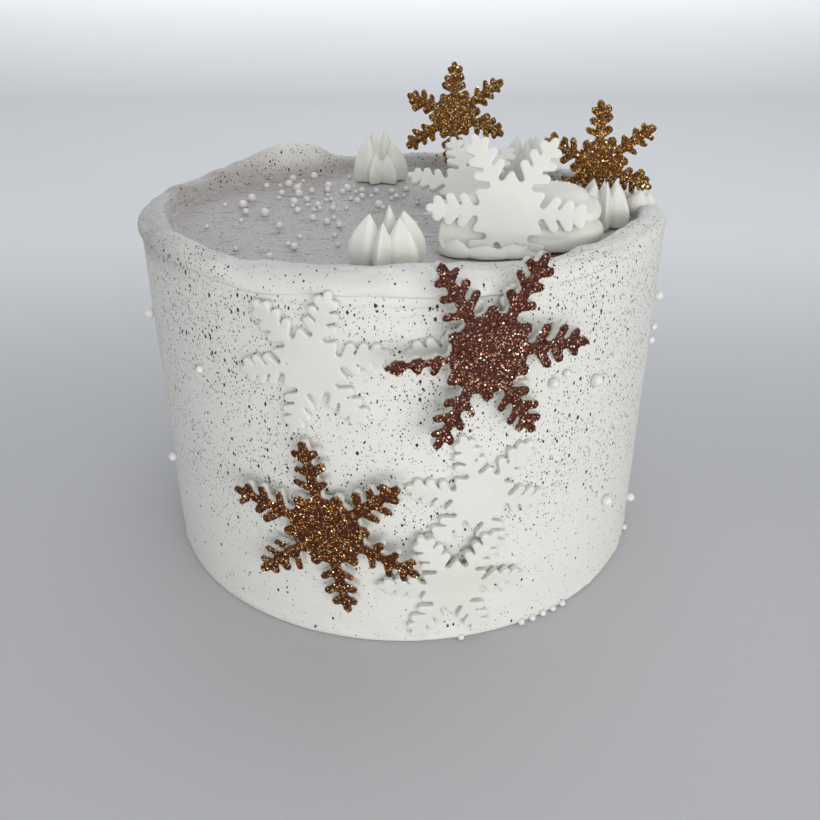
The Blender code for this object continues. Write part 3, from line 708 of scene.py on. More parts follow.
def product(tree, first, *others):
    """The output of values multiplied together."""
    for other in others:
        first = math_node(tree, "MULTIPLY", first, other)
    return first


def noise_value(tree, vector, scale, detail):
    """The value of a noise on a vector."""
    return add_node(tree, "ShaderNodeTexNoise", Vector=vector, Scale=scale, Detail=detail).outputs["Fac"]


def object_place(tree):
    """The place on the piece that is being shaded, in metres."""
    return add_node(tree, "ShaderNodeTexCoord").outputs["Object"]


def stretched(tree, vector, scale, turn=0.0):
    """A vector turned about Y and scaled, so that a pattern on it is stretched."""
    node = add_node(tree, "ShaderNodeMapping", Vector=vector)
    node.inputs["Rotation"].default_value = (0.0, math.radians(turn), 0.0)
    node.inputs["Scale"].default_value = scale
    return node.outputs[0]


def relief_normal(tree, height, strength, depth):
    """The normal of a fine relief."""
    return add_node(tree, "ShaderNodeBump", Strength=strength, Distance=depth, Height=height).outputs[0]


def add_splatter(tree, group, vector, scale, size, amount, ragged):
    """One layer of spots in a material."""
    values = {"Vector": vector, "Scale": scale, "Size": size, "Amount": amount, "Ragged": ragged}
    return add_node(tree, "ShaderNodeGroup", {"node_tree": group}, **values).outputs["Mask"]


def splatter_on_cream(tree, splatter, place, axes, patches, on_top):
    """The splatter: thin low down and on the front of the rim, thicker at both sides."""
    x, y, z = axes
    off_middle = math_node(tree, "ABSOLUTE", math_node(tree, "ADD", x, SPLATTER_ASIDE))
    front_rim = product(
        tree, ramp_between(tree, off_middle, *FRONT_RIM_WIDTH),
        ramp_between(tree, z, *FRONT_RIM_HEIGHT), ramp_between(tree, y, *FRONT_RIM_DEPTH),
    )
    amount = product(
        tree, ramp_between(tree, z, *SPLATTER_RISE), ramp_between(tree, patches, *SPLATTER_PATCHES),
        ramp_between(tree, front_rim, 0.0, 1.0, 1.0, FRONT_RIM_SHARE),
    )
    fewer = product(tree, amount, ramp_between(tree, off_middle, *WIDE_DROP_THINNING))
    drops = stretched(tree, place, DROP_STRETCH, DROP_SLANT)
    dashes = stretched(tree, place, DASH_STRETCH)
    speck = 0.0
    for vector, share_here, layers in (
        (drops, amount, SMALL_DROPS), (drops, fewer, WIDE_DROPS), (dashes, on_top, TOP_DASHES),
    ):
        for scale, size, share, strength, ragged in layers:
            mask = add_splatter(tree, splatter, vector, scale, size, product(tree, share_here, share), ragged)
            speck = math_node(tree, "MAXIMUM", speck, product(tree, mask, strength))
    return speck


def buttercream_colour(tree, place, axes, patches, on_top, speck):
    """A cool off-white that wanders a little, taupe on the top with darker smears that is partly painted
    shade, and brown specks.
    """
    x, _, z = axes
    wandering = noise_value(tree, place, *CREAM_CLOUDS)
    cream = mix_colours(tree, wandering, *CREAM_TONES)
    smears = noise_value(tree, stretched(tree, place, SMEAR_STRETCH), *SMEARS)
    smear = ramp_between(tree, smears, *SMEAR_EDGES)
    # Taupe with darker smears on the top, partly painted shade
    taupe_and_shade = mix_colours(tree, smear, *TAUPE_AND_SHADE_TONES)
    colour = mix_colours(tree, product(tree, on_top, TAUPE_AND_SHADE_SHARE), cream, taupe_and_shade)
    # Darker on the left towards the top: partly a wash, partly painted shade
    left = product(tree, ramp_between(tree, x, *LEFT_WASH_AND_SHADE), ramp_between(tree, z, *LEFT_WASH_AND_SHADE_HIGH), LEFT_WASH_AND_SHADE_SHARE)
    high, cloud = ramp_between(tree, z, *CLOUD_HIGH), ramp_between(tree, patches, *CLOUD_EDGES)
    cloudy = product(tree, high, cloud, CLOUD_SHARE)
    colour = mix_colours(tree, math_node(tree, "ADD", left, cloudy), colour, WASH_AND_SHADE_TONE)
    return mix_colours(tree, speck, colour, mix_colours(tree, wandering, *SPECK_TONES))


def buttercream_height(tree, place, axes, radius, speck):
    """Fine scrape lines that run round the cake, a soft grain, and specks that stand up."""
    x, y, z = axes
    flat = add_node(
        tree, "ShaderNodeCombineXYZ",
        X=product(tree, x, SCRAPE_FLATTENING), Y=product(tree, y, SCRAPE_FLATTENING),
        Z=math_node(tree, "ADD", z, product(tree, radius, SCRAPE_SLOPE)),
    )
    height = 0.0
    for value, share in (
        (noise_value(tree, flat.outputs[0], *SCRAPE_LINES), SCRAPE_SHARE),
        (noise_value(tree, place, *CREAM_GRAIN), CREAM_GRAIN_SHARE), (speck, SPECK_STANDS),
    ):
        height = math_node(tree, "ADD", height, product(tree, value, share))
    return height


def buttercream_material(splatter):
    """Off-white buttercream: scrape lines, a taupe wash with painted shade on the top, and dark splatter."""
    mat, tree, shader = make_material("buttercream_splattered")
    place = object_place(tree)
    axes = add_node(tree, "ShaderNodeSeparateXYZ", Vector=place).outputs[:3]
    squares = [product(tree, axis, axis) for axis in axes[:2]]
    radius = math_node(tree, "SQRT", math_node(tree, "ADD", *squares))
    # The top, where the taupe and its painted shade lie and the dashes fall
    on_top = product(
        tree, ramp_between(tree, radius, *TAUPE_AND_SHADE_RADIUS), ramp_between(tree, axes[2], *TAUPE_AND_SHADE_FROM),
        ramp_between(tree, axes[2], *TAUPE_AND_SHADE_UP_TO),
    )
    patches = noise_value(tree, place, *PATCHES)
    speck = splatter_on_cream(tree, splatter, place, axes, patches, on_top)
    height = buttercream_height(tree, place, axes, radius, speck)
    fill_inputs(tree, shader, {
        "Base Color": buttercream_colour(tree, place, axes, patches, on_top, speck),
        "Roughness": ramp_between(tree, speck, 0.0, 1.0, *BUTTERCREAM_ROUGHNESS),
        "Normal": relief_normal(tree, height, *BUTTERCREAM_RELIEF),
    })
    return mat


def cream_material(name, pale, shade, roughness, grain_scale, splatter=None):
    """Smooth piped cream or fondant, a little see-through, its colour warmer in patches."""
    mat, tree, shader = make_material(name)
    place = object_place(tree)
    wandering = noise_value(tree, place, *SMOOTH_CLOUDS)
    colour = mix_colours(tree, ramp_between(tree, wandering, *SMOOTH_EDGES), pale, shade)
    if splatter is not None:
        specks = add_splatter(tree, splatter, place, *FONDANT_SPECKS)
        colour = mix_colours(tree, specks, colour, FONDANT_SPECK_TONE)
    gloss = ramp_between(tree, wandering, *GLOSS_EDGES, roughness - GLOSS_RANGE, roughness + GLOSS_RANGE)
    grain = noise_value(tree, place, grain_scale, SMOOTH_DETAIL)
    fill_inputs(tree, shader, {
        "Base Color": colour, "Roughness": gloss, "Normal": relief_normal(tree, grain, *SMOOTH_RELIEF),
        "Subsurface Weight": CREAM_GLOW, "Subsurface Radius": CREAM_GLOW_REACH, "Subsurface Scale": 1.0,
    })
    return mat


def pearl_material():
    """Sugar pearls with a soft pearly coat."""
    mat, tree, shader = make_material("sugar_pearl")
    wandering = noise_value(tree, object_place(tree), *PEARL_CLOUDS)
    fill_inputs(tree, shader, {
        "Base Color": mix_colours(tree, wandering, *PEARL_TONES),
        "Roughness": ramp_between(tree, wandering, *GLOSS_EDGES, *PEARL_ROUGHNESS),
        "Coat Weight": PEARL_COAT, "Coat Roughness": PEARL_COAT_ROUGHNESS,
        "Subsurface Weight": PEARL_GLOW, "Subsurface Radius": PEARL_GLOW_REACH, "Subsurface Scale": 1.0,
    })
    return mat


def darker(colour, share):
    """A colour dimmed to a share of itself."""
    return tuple(value * share for value in colour[:3]) + (1.0,)


def glitter_base_material(name, colour):
    """The body under the grains: dark where the glitter lies, white fondant at the sides."""
    mat, tree, shader = make_material(name)
    cells = add_node(tree, "ShaderNodeTexVoronoi", Vector=object_place(tree), Scale=CAST_CELLS)
    drawn = add_node(tree, "ShaderNodeSeparateColor", Color=cells.outputs["Color"])
    glittered = add_node(tree, "ShaderNodeAttribute", {"attribute_name": "glittered"}).outputs["Fac"]
    cast = mix_colours(tree, drawn.outputs[0], darker(colour, CAST_DARKENING), colour)
    fill_inputs(tree, shader, {
        "Base Color": mix_colours(tree, glittered, CAST_SIDE_TONE, cast),
        "Roughness": ramp_between(tree, drawn.outputs[1], 0.0, 1.0, *CAST_ROUGHNESS),
        "Metallic": product(tree, glittered, CAST_METALLIC),
        "Normal": relief_normal(tree, cells.outputs["Distance"], *CAST_RELIEF),
    })
    return mat


def glitter_grain_material(name, dark, middle, bright):
    """Foil grains: most are dark, some are lighter, and a few are pale gold."""
    mat, tree, shader = make_material(name)
    drawn = add_node(tree, "ShaderNodeAttribute", {"attribute_name": "grain"}).outputs["Fac"]
    colour = mix_colours(tree, ramp_between(tree, drawn, *GRAIN_MIDDLE_FROM), dark, middle)
    colour = mix_colours(tree, ramp_between(tree, drawn, *GRAIN_BRIGHT_FROM), colour, bright)
    fill_inputs(tree, shader, {
        "Base Color": colour, "Roughness": ramp_between(tree, drawn, 0.0, 1.0, *GRAIN_ROUGHNESS),
        "Metallic": ramp_between(tree, drawn, *GRAIN_BRIGHT_FROM, *GRAIN_METALLIC),
    })
    return mat


def sparkle_material(name, colour):
    """The few large foil grains that catch the light."""
    mat, tree, shader = make_material(name)
    drawn = add_node(tree, "ShaderNodeAttribute", {"attribute_name": "grain"}).outputs["Fac"]
    fill_inputs(tree, shader, {
        "Base Color": mix_colours(tree, drawn, darker(colour, SPARKLE_DARKENING), colour),
        "Roughness": ramp_between(tree, drawn, 0.0, 1.0, *SPARKLE_ROUGHNESS), "Metallic": SPARKLE_METALLIC,
    })
    return mat


# The frosting


def frosting_section():
    """Half the section, from the middle of the top down the outer side to the foot."""
    section = [(0.0, TOP_HEIGHT + TOP_CROWN)]
    for radius in range(TOP_RING_STEP, TOP_RINGS_END, TOP_RING_STEP):
        section.append((radius * MM, TOP_HEIGHT + TOP_CROWN * (1.0 - radius * MM / TOP_CROWN_END)))
    for (radius, level), steps in RIM_SECTION:
        section += [(radius + out * MM, level + up * MM) for out, up in steps]
    heights = [WALL_TOP_HEIGHT - drop * MM for drop in WALL_FINE_DROPS]
    heights += [heights[-1] * (1.0 - n / WALL_STEPS) for n in range(1, WALL_STEPS)]
    section += [(wall_radius(z), z) for z in heights]
    section += [(FOOT_RADIUS + out * MM, up * MM) for out, up in FOOT_SECTION]
    section.append((0.0, 0.0))
    return section


def rim_lift(degrees):
    """How far the rim's crest stands above its usual height, in mm."""
    lift = sum(height * bump(degrees, middle, width) for middle, width, height in RIM_BUMPS)
    for waves, start, height in RIM_RIPPLES:
        lift += height * math.sin(math.radians(waves * degrees + start))
    return lift


def shape_lip(degrees, radius, z, ahead):
    """The crease below the rim climbs and dips, and the lip is pressed flat here and there."""
    above = z / MM - WALL_TOP_HEIGHT / MM
    lift = sum(height * bump(degrees, middle, width) for middle, width, height in CREASE_BUMPS)
    lift += sum(height * wander(ahead, *waves) for height, waves in CREASE_WANDERS)
    pressed = smooth(*LIP_PRESSED, wander(ahead, *LIP_PATCHES)) * LIP_PRESS
    z += MM * lift * bump(above, *CREASE_REACH)
    above = z / MM - WALL_TOP_HEIGHT / MM
    radius -= (radius - WALL_TOP_RADIUS + LIP_BEHIND) * pressed * bump(above, *LIP_REACH)
    return radius, z


def shape_rim(degrees, radius, z, ahead):
    """The rim's uneven crest, its knife marks, and the curl of cream that hangs inwards."""
    crest = smooth(TOP_HEIGHT + CREST_FROM, RIM_HEIGHT, z)
    if radius > RIM_CREST_RADIUS + LIP_FROM:
        radius, z = shape_lip(degrees, radius, z, ahead)
    inward = 0.0
    if radius < RIM_CREST_RADIUS + INNER_UP_TO:
        inward = CURL_DEPTH * bump(degrees, CURL_AZIMUTH, CURL_WIDTH)
        inward += INNER_WAVE_DEPTH * math.sin(math.radians(INNER_WAVES * degrees))
        inward += INNER_WANDER_DEPTH * wander(ahead, *INNER_WANDER)
        inward *= smooth(INNER_FROM, RIM_INNER_RADIUS, radius)
    # Flat facets where the knife pulled the rim inwards, and smears along its top
    facet = abs(wander(ahead, *FACETS)) * crest
    radius -= FACET_INWARD * facet * smooth(RIM_CREST_RADIUS, BAND_RADIUS, radius)
    smear = noise.noise(Vector((degrees / SMEAR_RUN, radius / MM * SMEAR_CLOSE, SMEAR_LAYER)))
    z += (rim_lift(degrees) * MM + SMEAR_DEPTH * smear) * crest - FACET_DROP * facet
    return radius - inward, z


def shape_wall(radius, z, ahead):
    """Faint bands where the scraper chattered, a slow swell, and an uneven foot."""
    ahead = Vector((ahead.x, ahead.y, z / MM))
    marks = wander(ahead, *WALL_BANDS) + wander(ahead, *WALL_SWELLS)
    radius -= (WALL_SHRINK + WALL_BAND_DEPTH * marks) * smooth(*WALL_MARKS_FADE, z)
    return radius + FOOT_WANDER_DEPTH * wander(ahead, *FOOT_WANDER) * smooth(*FOOT_WANDER_FADE, z)


def shape_frosting(mesh):
    """Makes the turned frosting uneven: rim, crease, curl of cream, knife marks."""
    for vert in mesh.vertices:
        x, y, z = vert.co
        radius = math.hypot(x, y)
        if radius < MIDDLE_POINT:
            continue
        degrees = azimuth_of(x, y)
        ahead = Vector((x / radius, y / radius, 0.0))
        if radius > RIM_SHAPE_RADIUS and z > WALL_TOP_HEIGHT - RIM_SHAPE_BELOW:
            radius, z = shape_rim(degrees, radius, z, ahead)
        if radius > FOLD_OUTSIDE and WALL_TOP_HEIGHT - FOLD_REACH < z < WALL_TOP_HEIGHT:
            # A second, shallower fold under the crease at the front
            fold = WALL_TOP_HEIGHT - FOLD_BELOW + FOLD_WANDER_DEPTH * wander(ahead, *FOLD_WANDER)
            along = bump(degrees, FOLD_AZIMUTH, FOLD_WIDTH)
            radius -= FOLD_DEPTH * along * bump(z / MM, fold / MM, FOLD_HALF)
        if z < TOP_HEIGHT + SWEEP_UP_TO and radius < RIM_INNER_RADIUS:
            sweep = noise.noise(Vector((x / MM * SWEEP_WAVES[0], y / MM * SWEEP_WAVES[1], SWEEP_LAYER)))
            z += SWEEP_DEPTH * sweep * smooth(*SWEEP_FADE, z)
        elif WALL_MARKS_FADE[0] < z < WALL_TOP_HEIGHT + WALL_MARKS_ABOVE:
            radius = shape_wall(radius, z, ahead)
        aside = RIM_ASIDE * smooth(WALL_TOP_HEIGHT, RIM_HEIGHT, z)
        vert.co = (ahead.x * radius + aside, ahead.y * radius, z)


def make_frosting(mat):
    """The whole frosted body, as one closed skin."""
    item = add_object("frosting", mesh_of(turned_body(frosting_section(), ROUND_STEPS), "frosting"))
    subdivide(item, FROSTING_LEVELS)
    shape_frosting(item.data)
    return finish_piece(item, mat, "cake_body")


# The sugar pearls


def near_a_star(spot, room):
    """Whether a place on the top is within that much room of a star's foot."""
    return any((spot - Vector((*star[0], 0.0)) * MM).length < star[1] + room for star in STARS.values())


def cluster_places():
    """The pearls of the cluster on the top, large and small, with room between them."""
    draw = random.Random(CLUSTER_SEED)
    places = []
    while len(places) < TOP_PEARLS:
        x = draw.gauss(CLUSTER_CENTRE[0], CLUSTER_SPREAD[0])
        y = draw.gauss(CLUSTER_CENTRE[1], CLUSTER_SPREAD[1])
        spot = Vector((x, y, 0.0))
        if spot.length > RIM_INNER_RADIUS - PEARL_ROOM or x > CLUSTER_RIGHT:
            continue
        if near_a_star(spot, PEARL_ROOM) or any((spot - other).length < PEARL_ROOM for other, _ in places):
            continue
        places.append((spot, LARGE_PEARL if len(places) % 3 == 0 else SMALL_PEARL))
    tiny = random.Random(TINY_SEED)
    while len(places) < TOP_PEARLS + TINY_PEARLS:
        x = tiny.gauss(CLUSTER_CENTRE[0], TINY_SPREAD[0])
        y = tiny.gauss(CLUSTER_CENTRE[1] + TINY_BEHIND, TINY_SPREAD[1])
        spot = Vector((x, y, 0.0))
        if spot.length > RIM_INNER_RADIUS - TINY_FROM_RIM or x > TINY_RIGHT or near_a_star(spot, TINY_ROOM):
            continue
        if any((spot - other).length < radius + TINY_PEARL for other, radius in places):
            continue
        places.append((spot, TINY_PEARL))
    return places


def pearl_places():
    """Every pearl's middle and radius."""
    press = 1.0 - PEARL_PRESS
    places = []
    for spot, radius in cluster_places():
        level = TOP_HEIGHT + TOP_CROWN * (1.0 - spot.length / RIM_INNER_RADIUS)
        places.append((Vector((spot.x, spot.y, level + radius * press)), radius))
    for degrees, z, radius in WALL_PEARLS:
        places.append((on_wall(degrees, z, radius * press), radius))
    for degrees in FOOT_PEARL_AZIMUTHS:
        place = on_wall(degrees, SMALL_PEARL * FOOT_PEARL_LEVEL, SMALL_PEARL * FOOT_PEARL_OUT)
        places.append((place, SMALL_PEARL))
    return places


def make_pearls(mat):
    """All the sugar pearls as one mesh of true spheres."""
    bm = bmesh.new()
    for place, radius in pearl_places():
        bmesh.ops.create_uvsphere(
            bm, u_segments=PEARL_SIDES, v_segments=PEARL_RINGS, radius=radius,
            matrix=Matrix.Translation(place),
        )
    item = add_object("sugar_pearls", mesh_of(bm, "sugar_pearls"))
    return finish_piece(item, mat, "cake_body")


# The snowflakes


def rounded_bar(bm, start, end, start_half, end_half, thick):
    """A flat bar with round ends between two points, as the hull of two discs."""
    made = []
    for place, half in ((start, start_half), (end, end_half)):
        disc = bmesh.ops.create_cone(
            bm, cap_ends=True, segments=BAR_SIDES, radius1=half, radius2=half, depth=thick,
            matrix=Matrix.Translation((place[0], place[1], 0.0)),
        )
        made += disc["verts"]
    hull = bmesh.ops.convex_hull(bm, input=made)
    inner = [item for item in hull["geom_interior"] if isinstance(item, bmesh.types.BMVert)]
    bmesh.ops.delete(bm, geom=inner, context="VERTS")


def flake_shape(style, radius, thick, seed, thin_arm=None):
    """The bars and disc of a flake in its own XY plane, overlapping, as a bmesh."""
    draw = random.Random(seed)
    bm = bmesh.new()
    plate = style["plate"] * radius
    bmesh.ops.create_cone(bm, cap_ends=True, segments=PLATE_SIDES, radius1=plate, radius2=plate, depth=thick)
    slant = math.radians(style["slant"])
    lean = Vector((math.cos(slant), math.sin(slant)))
    near, near_half, far, far_half = (value * radius for value in style["lobe"])
    for arm in range(ARMS):
        turn = Matrix.Rotation(math.radians(360.0 / ARMS * arm), 2)
        half_turn = Matrix.Rotation(math.radians(360.0 / ARMS * (arm + 0.5)), 2)
        thin = arm == thin_arm
        root, tip = (half * radius * (THIN_STEM_SHARE if thin else 1.0) for half in style["stem"])
        ends = turn @ Vector((plate * ARM_ROOT, 0.0)), turn @ Vector((style["tip"] * radius, 0.0))
        rounded_bar(bm, *ends, root, tip, thick)
        lobe = half_turn @ Vector((near, 0.0)), half_turn @ Vector((far, 0.0))
        rounded_bar(bm, *lobe, near_half, far_half, thick)
        for place, reach in style["fingers"]:
            for side in (1.0, -1.0):
                share = 1.0 + style["uneven"] * draw.uniform(-1.0, 1.0)
                if thin:
                    share *= THIN_ARM_SHARE if side > 0.0 else THIN_ARM_SHARE / 3.0
                slope = lean.x / lean.y * (1.0 + style["uneven"] * draw.uniform(-1.0, 1.0))
                end = Vector((place + slope * reach * share, side * reach * share))
                fat = 1.0 + style["uneven"] * draw.uniform(*FINGER_FATNESS)
                fat *= THIN_FINGER_SHARE if thin else 1.0
                halves = [half * radius * fat for half in style["finger_half"]]
                rounded_bar(bm, turn @ Vector((place, 0.0)) * radius, turn @ end * radius, *halves, thick)
        for place, half in THIN_ARM_KNOBS if thin else ():
            middle = turn @ Vector((place, 0.0)) * radius
            end = middle + turn @ Vector((KNOB_LENGTH, 0.0)) * radius
            rounded_bar(bm, middle, end, half * radius, half * radius, thick)
    return bm


def stand_matrix(centre, degrees, lean, turn):
    """Places a flat flake by its centre, facing an azimuth and leaning back."""
    face = Matrix.Rotation(math.radians(turn), 4, "Z")
    upright = Matrix.Rotation(math.radians(90.0 - lean), 4, "X")
    around = Matrix.Rotation(math.radians(degrees), 4, "Z")
    return Matrix.Translation(Vector(centre) * MM) @ around @ upright @ face


def bend_on_wall(mesh, degrees, height, lift, lift_start):
    """Bends a flat flake round the wall, pressed a little into the cream."""
    for vert in mesh.vertices:
        u, v, w = vert.co
        z = height + v
        proud = (BAND_RADIUS - WALL_TOP_RADIUS) * smooth(BAND_START, WALL_TOP_HEIGHT, z)
        stand = lift * smooth(lift_start, lift_start + LIFT_RUN, z) if lift else 0.0
        face = wall_radius(z) + proud + stand + BEND_GAP + FONDANT_THICKNESS / 2 + w
        around = math.radians(degrees) + u / (wall_radius(height) + BEND_GAP)
        vert.co = (face * math.sin(around), -face * math.cos(around), z)


def cut_below(item, level):
    """Cuts away what would be under the cream, and closes the cut."""
    bm = bmesh.new()
    bm.from_mesh(item.data)
    geometry = bm.verts[:] + bm.edges[:] + bm.faces[:]
    bmesh.ops.bisect_plane(bm, geom=geometry, plane_co=(0, 0, level), plane_no=(0, 0, -1), clear_outer=True)
    bmesh.ops.holes_fill(bm, edges=[e for e in bm.edges if e.is_boundary])
    bm.to_mesh(item.data)
    bm.free()


def make_fondant_flake(name, mat):
    """A soft-edged white flake, bent round the wall or leaning on the cream."""
    bent = name in WALL_FLAKES
    if bent:
        degrees, height, turn, radius, lift, start = WALL_FLAKES[name]
    else:
        centre, degrees, lean, turn, radius = LEANING_FLAKES[name]
    bm = flake_shape(FONDANT, radius, FONDANT_THICKNESS, len(name))
    if bent:
        bmesh.ops.rotate(bm, verts=bm.verts[:], matrix=turned_about_z(turn))
    item = add_object(name + "_soft", mesh_of(bm, name))
    fuse(item, *FONDANT_FUSE)
    if bent:
        bend_on_wall(item.data, degrees, height, lift, start)
    else:
        item.data.transform(stand_matrix(centre, degrees, lean, turn))
        cut_below(item, FLOOR_OF_TOPPINGS)
    return finish_piece(item, mat, name)


def scatter_grains(source, name, density, seed, size):
    """Foil grains strewn over a skin, each with its own tilt, size and colour value."""
    tree = bpy.data.node_groups.new(name, "GeometryNodeTree")
    tree.interface.new_socket("Geometry", in_out="INPUT", socket_type="NodeSocketGeometry")
    tree.interface.new_socket("Geometry", in_out="OUTPUT", socket_type="NodeSocketGeometry")
    given = tree.nodes.new("NodeGroupInput")
    out = tree.nodes.new("NodeGroupOutput")
    share = add_node(tree, "GeometryNodeInputNamedAttribute", {"data_type": "FLOAT"}, Name="glittered")
    points = add_node(
        tree, "GeometryNodeDistributePointsOnFaces", Mesh=given.outputs[0], Seed=seed,
        Density=product(tree, share.outputs[0], density),
    )
    grain = add_node(
        tree, "GeometryNodeMeshCylinder", Vertices=GRAIN_SIDES, Radius=size / 2, Depth=size * GRAIN_DEPTH
    )
    tilt = add_node(
        tree, "FunctionNodeRandomValue", {"data_type": "FLOAT_VECTOR"},
        i0=(-GRAIN_TILT, -GRAIN_TILT, 0.0), i1=(GRAIN_TILT, GRAIN_TILT, 2 * math.pi), Seed=seed + 1,
    )
    aligned = add_node(
        tree, "FunctionNodeRotateRotation", {"rotation_space": "LOCAL"}, Rotation=points.outputs["Rotation"]
    )
    turned = add_node(tree, "FunctionNodeEulerToRotation", Euler=tilt.outputs[0])
    tree.links.new(turned.outputs[0], aligned.inputs["Rotate By"])
    grow = add_node(tree, "FunctionNodeRandomValue", i2=GRAIN_GROWTH[0], i3=GRAIN_GROWTH[1], Seed=seed + 2)
    placed = add_node(
        tree, "GeometryNodeInstanceOnPoints", Points=points.outputs["Points"], Instance=grain.outputs["Mesh"],
        Rotation=aligned.outputs[0], Scale=grow.outputs[1],
    )
    drawn = add_node(tree, "FunctionNodeRandomValue", i2=0.0, i3=1.0, Seed=seed + 3)
    stored = add_node(
        tree, "GeometryNodeStoreNamedAttribute", {"data_type": "FLOAT", "domain": "INSTANCE"},
        Geometry=placed.outputs[0], Name="grain", Value=drawn.outputs[1],
    )
    real = add_node(tree, "GeometryNodeRealizeInstances", Geometry=stored.outputs[0])
    tree.links.new(real.outputs[0], out.inputs[0])
    item = add_object(name, source.data.copy())
    item.modifiers.new("grains", "NODES").node_group = tree
    return apply_modifiers(item)


def mark_glittered(item, degrees, lean, all_round):
    """Stores where the glitter lies: on the front alone, or all round."""
    front = stand_matrix((0.0, 0.0, 0.0), degrees, lean, 0.0).to_3x3() @ Vector((0.0, 0.0, 1.0))
    shares = item.data.attributes.new("glittered", "FLOAT", "POINT")
    for vert, share in zip(item.data.vertices, shares.data):
        share.value = 1.0 if all_round else smooth(*GLITTER_EDGE, vert.normal.dot(front))


def make_glitter_flake(name, seed, cast_mat, grain_mat, sparkle_mat, slot):
    """A cast flake and the foil grains strewn over it."""
    centre, degrees, lean, turn, radius = GLITTER_FLAKES[name]
    on_top = centre[2] * MM > TOP_HEIGHT
    bm = flake_shape(GLITTER, radius, GLITTER_THICKNESS, seed, THIN_ARMS.get(name))
    item = add_object(name + "_cast", mesh_of(bm, name))
    fuse(item, *GLITTER_FUSE)
    item.data.transform(stand_matrix(centre, degrees, lean, turn))
    if on_top:
        cut_below(item, FLOOR_OF_TOPPINGS)
    mark_glittered(item, degrees, lean, on_top)
    finish_piece(item, cast_mat, name)
    grains = scatter_grains(item, name + "_grains", GRAIN_DENSITY, seed, GRAIN_SIZE)
    finish_piece(grains, grain_mat, name, soft=False)
    seed += SPARKLE_SEED_STEP
    sparkles = scatter_grains(item, name + "_sparkles", SPARKLE_DENSITY, seed, SPARKLE_SIZES[slot])
    finish_piece(sparkles, sparkle_mat, name, soft=False)


# The piped cream


def petal(height, width, depth, lean, ridge):
    """One pointed petal at the origin with a sharp outer ridge, leaning to -X."""
    bm = bmesh.new()
    bmesh.ops.create_uvsphere(bm, u_segments=PETAL_SIDES, v_segments=PETAL_RINGS, radius=1.0)
    belly, swell, close = PETAL_FORM
    for vert in bm.verts:
        share = (vert.co.z + 1.0) / 2.0
        flat = max(math.hypot(vert.co.x, vert.co.y), 0.01)
        fat = (1.0 - share) * (belly + swell * share - close * share * share)
        out = vert.co.x / flat
        side = vert.co.y / flat
        keel = ridge * max(out, 0.0) ** PETAL_SHARPNESS
        hollow = 1.0 - PETAL_HOLLOW * ridge * (2.0 * abs(side * out)) ** 2 * (out > 0.0)
        x = (out * hollow + keel) * depth * fat - lean * share * share
        y = side * hollow * width * fat
        vert.co = (x, y, height * share)
    return bm


def make_star(name, mat):
    """A piped star on the top of the cake: pointed petals in a ring round a low heart."""
    place, foot, height, petals = STARS[name]
    heart = foot * STAR_HEART_WIDTH
    pieces = [(petal(height * STAR_HEART, heart, heart, 0.0, 0.0), 0.0, 0.0)]
    for degrees, wide, tall in petals:
        wide *= PETAL_NARROWING
        bm = petal(height * tall, foot * wide, foot * PETAL_DEPTH, foot * PETAL_LEAN, PETAL_RIDGE)
        pieces.append((bm, foot * PETAL_PLACE, degrees - 90.0))
    whole = bmesh.new()
    for bm, out, turn in pieces:
        bmesh.ops.translate(bm, verts=bm.verts[:], vec=(out, 0.0, 0.0))
        bmesh.ops.rotate(bm, verts=bm.verts[:], matrix=turned_about_z(turn))
        bmesh.ops.translate(bm, verts=bm.verts[:], vec=(place[0] * MM, place[1] * MM, FLOOR_OF_TOPPINGS))
        whole.from_mesh(mesh_of(bm, "petal"))
    item = add_object(name + "_piped", mesh_of(whole, name))
    fuse(item, *STAR_FUSE)
    return finish_piece(item, mat, name)


def make_dollop(name, mat):
    """A round dollop on the top of the cake, flattened where a flake leans on it."""
    place, foot, height, lean, flake = DOLLOPS[name]
    shape = LAYERED_DOLLOP if name == "piped_dollop_right" else ROUND_DOLLOP
    bm = turned_body([(foot * out, height * up) for out, up in shape + ((0.0, 0.0),)], DOLLOP_STEPS)
    item = add_object(name + "_piped", mesh_of(bm, name))
    subdivide(item, DOLLOP_LEVELS)
    waves, rise = DOLLOP_WAVES
    for vert in item.data.vertices:
        up = vert.co.z / height
        around = math.atan2(vert.co.y, vert.co.x)
        wave = 1.0 + DOLLOP_WAVE_DEPTH * math.sin(waves * around + rise * up)
        vert.co.x = vert.co.x * wave + (place[0] + lean[0] * up ** 2) * MM
        vert.co.y = vert.co.y * wave + (place[1] + lean[1] * up ** 2) * MM
        vert.co.z += FLOOR_OF_TOPPINGS
    flatten_against(item, flake)
    if name == "piped_dollop_left":
        add_skirt(item)
    fuse(item, *DOLLOP_FUSE)
    return finish_piece(item, mat, name)


def add_skirt(item):
    """Adds the short petals that hide the foot of the leaning flake."""
    whole = bmesh.new()
    whole.from_mesh(item.data)
    for place, half, height, degrees in SKIRT_PETALS:
        bm = petal(height, half, SKIRT_DEPTH, SKIRT_LEAN, SKIRT_RIDGE)
        bmesh.ops.rotate(bm, verts=bm.verts[:], matrix=turned_about_z(degrees - 90.0))
        bmesh.ops.translate(bm, verts=bm.verts[:], vec=(place[0] * MM, place[1] * MM, FLOOR_OF_TOPPINGS))
        whole.from_mesh(mesh_of(bm, "skirt_petal"))
    whole.to_mesh(item.data)
    whole.free()


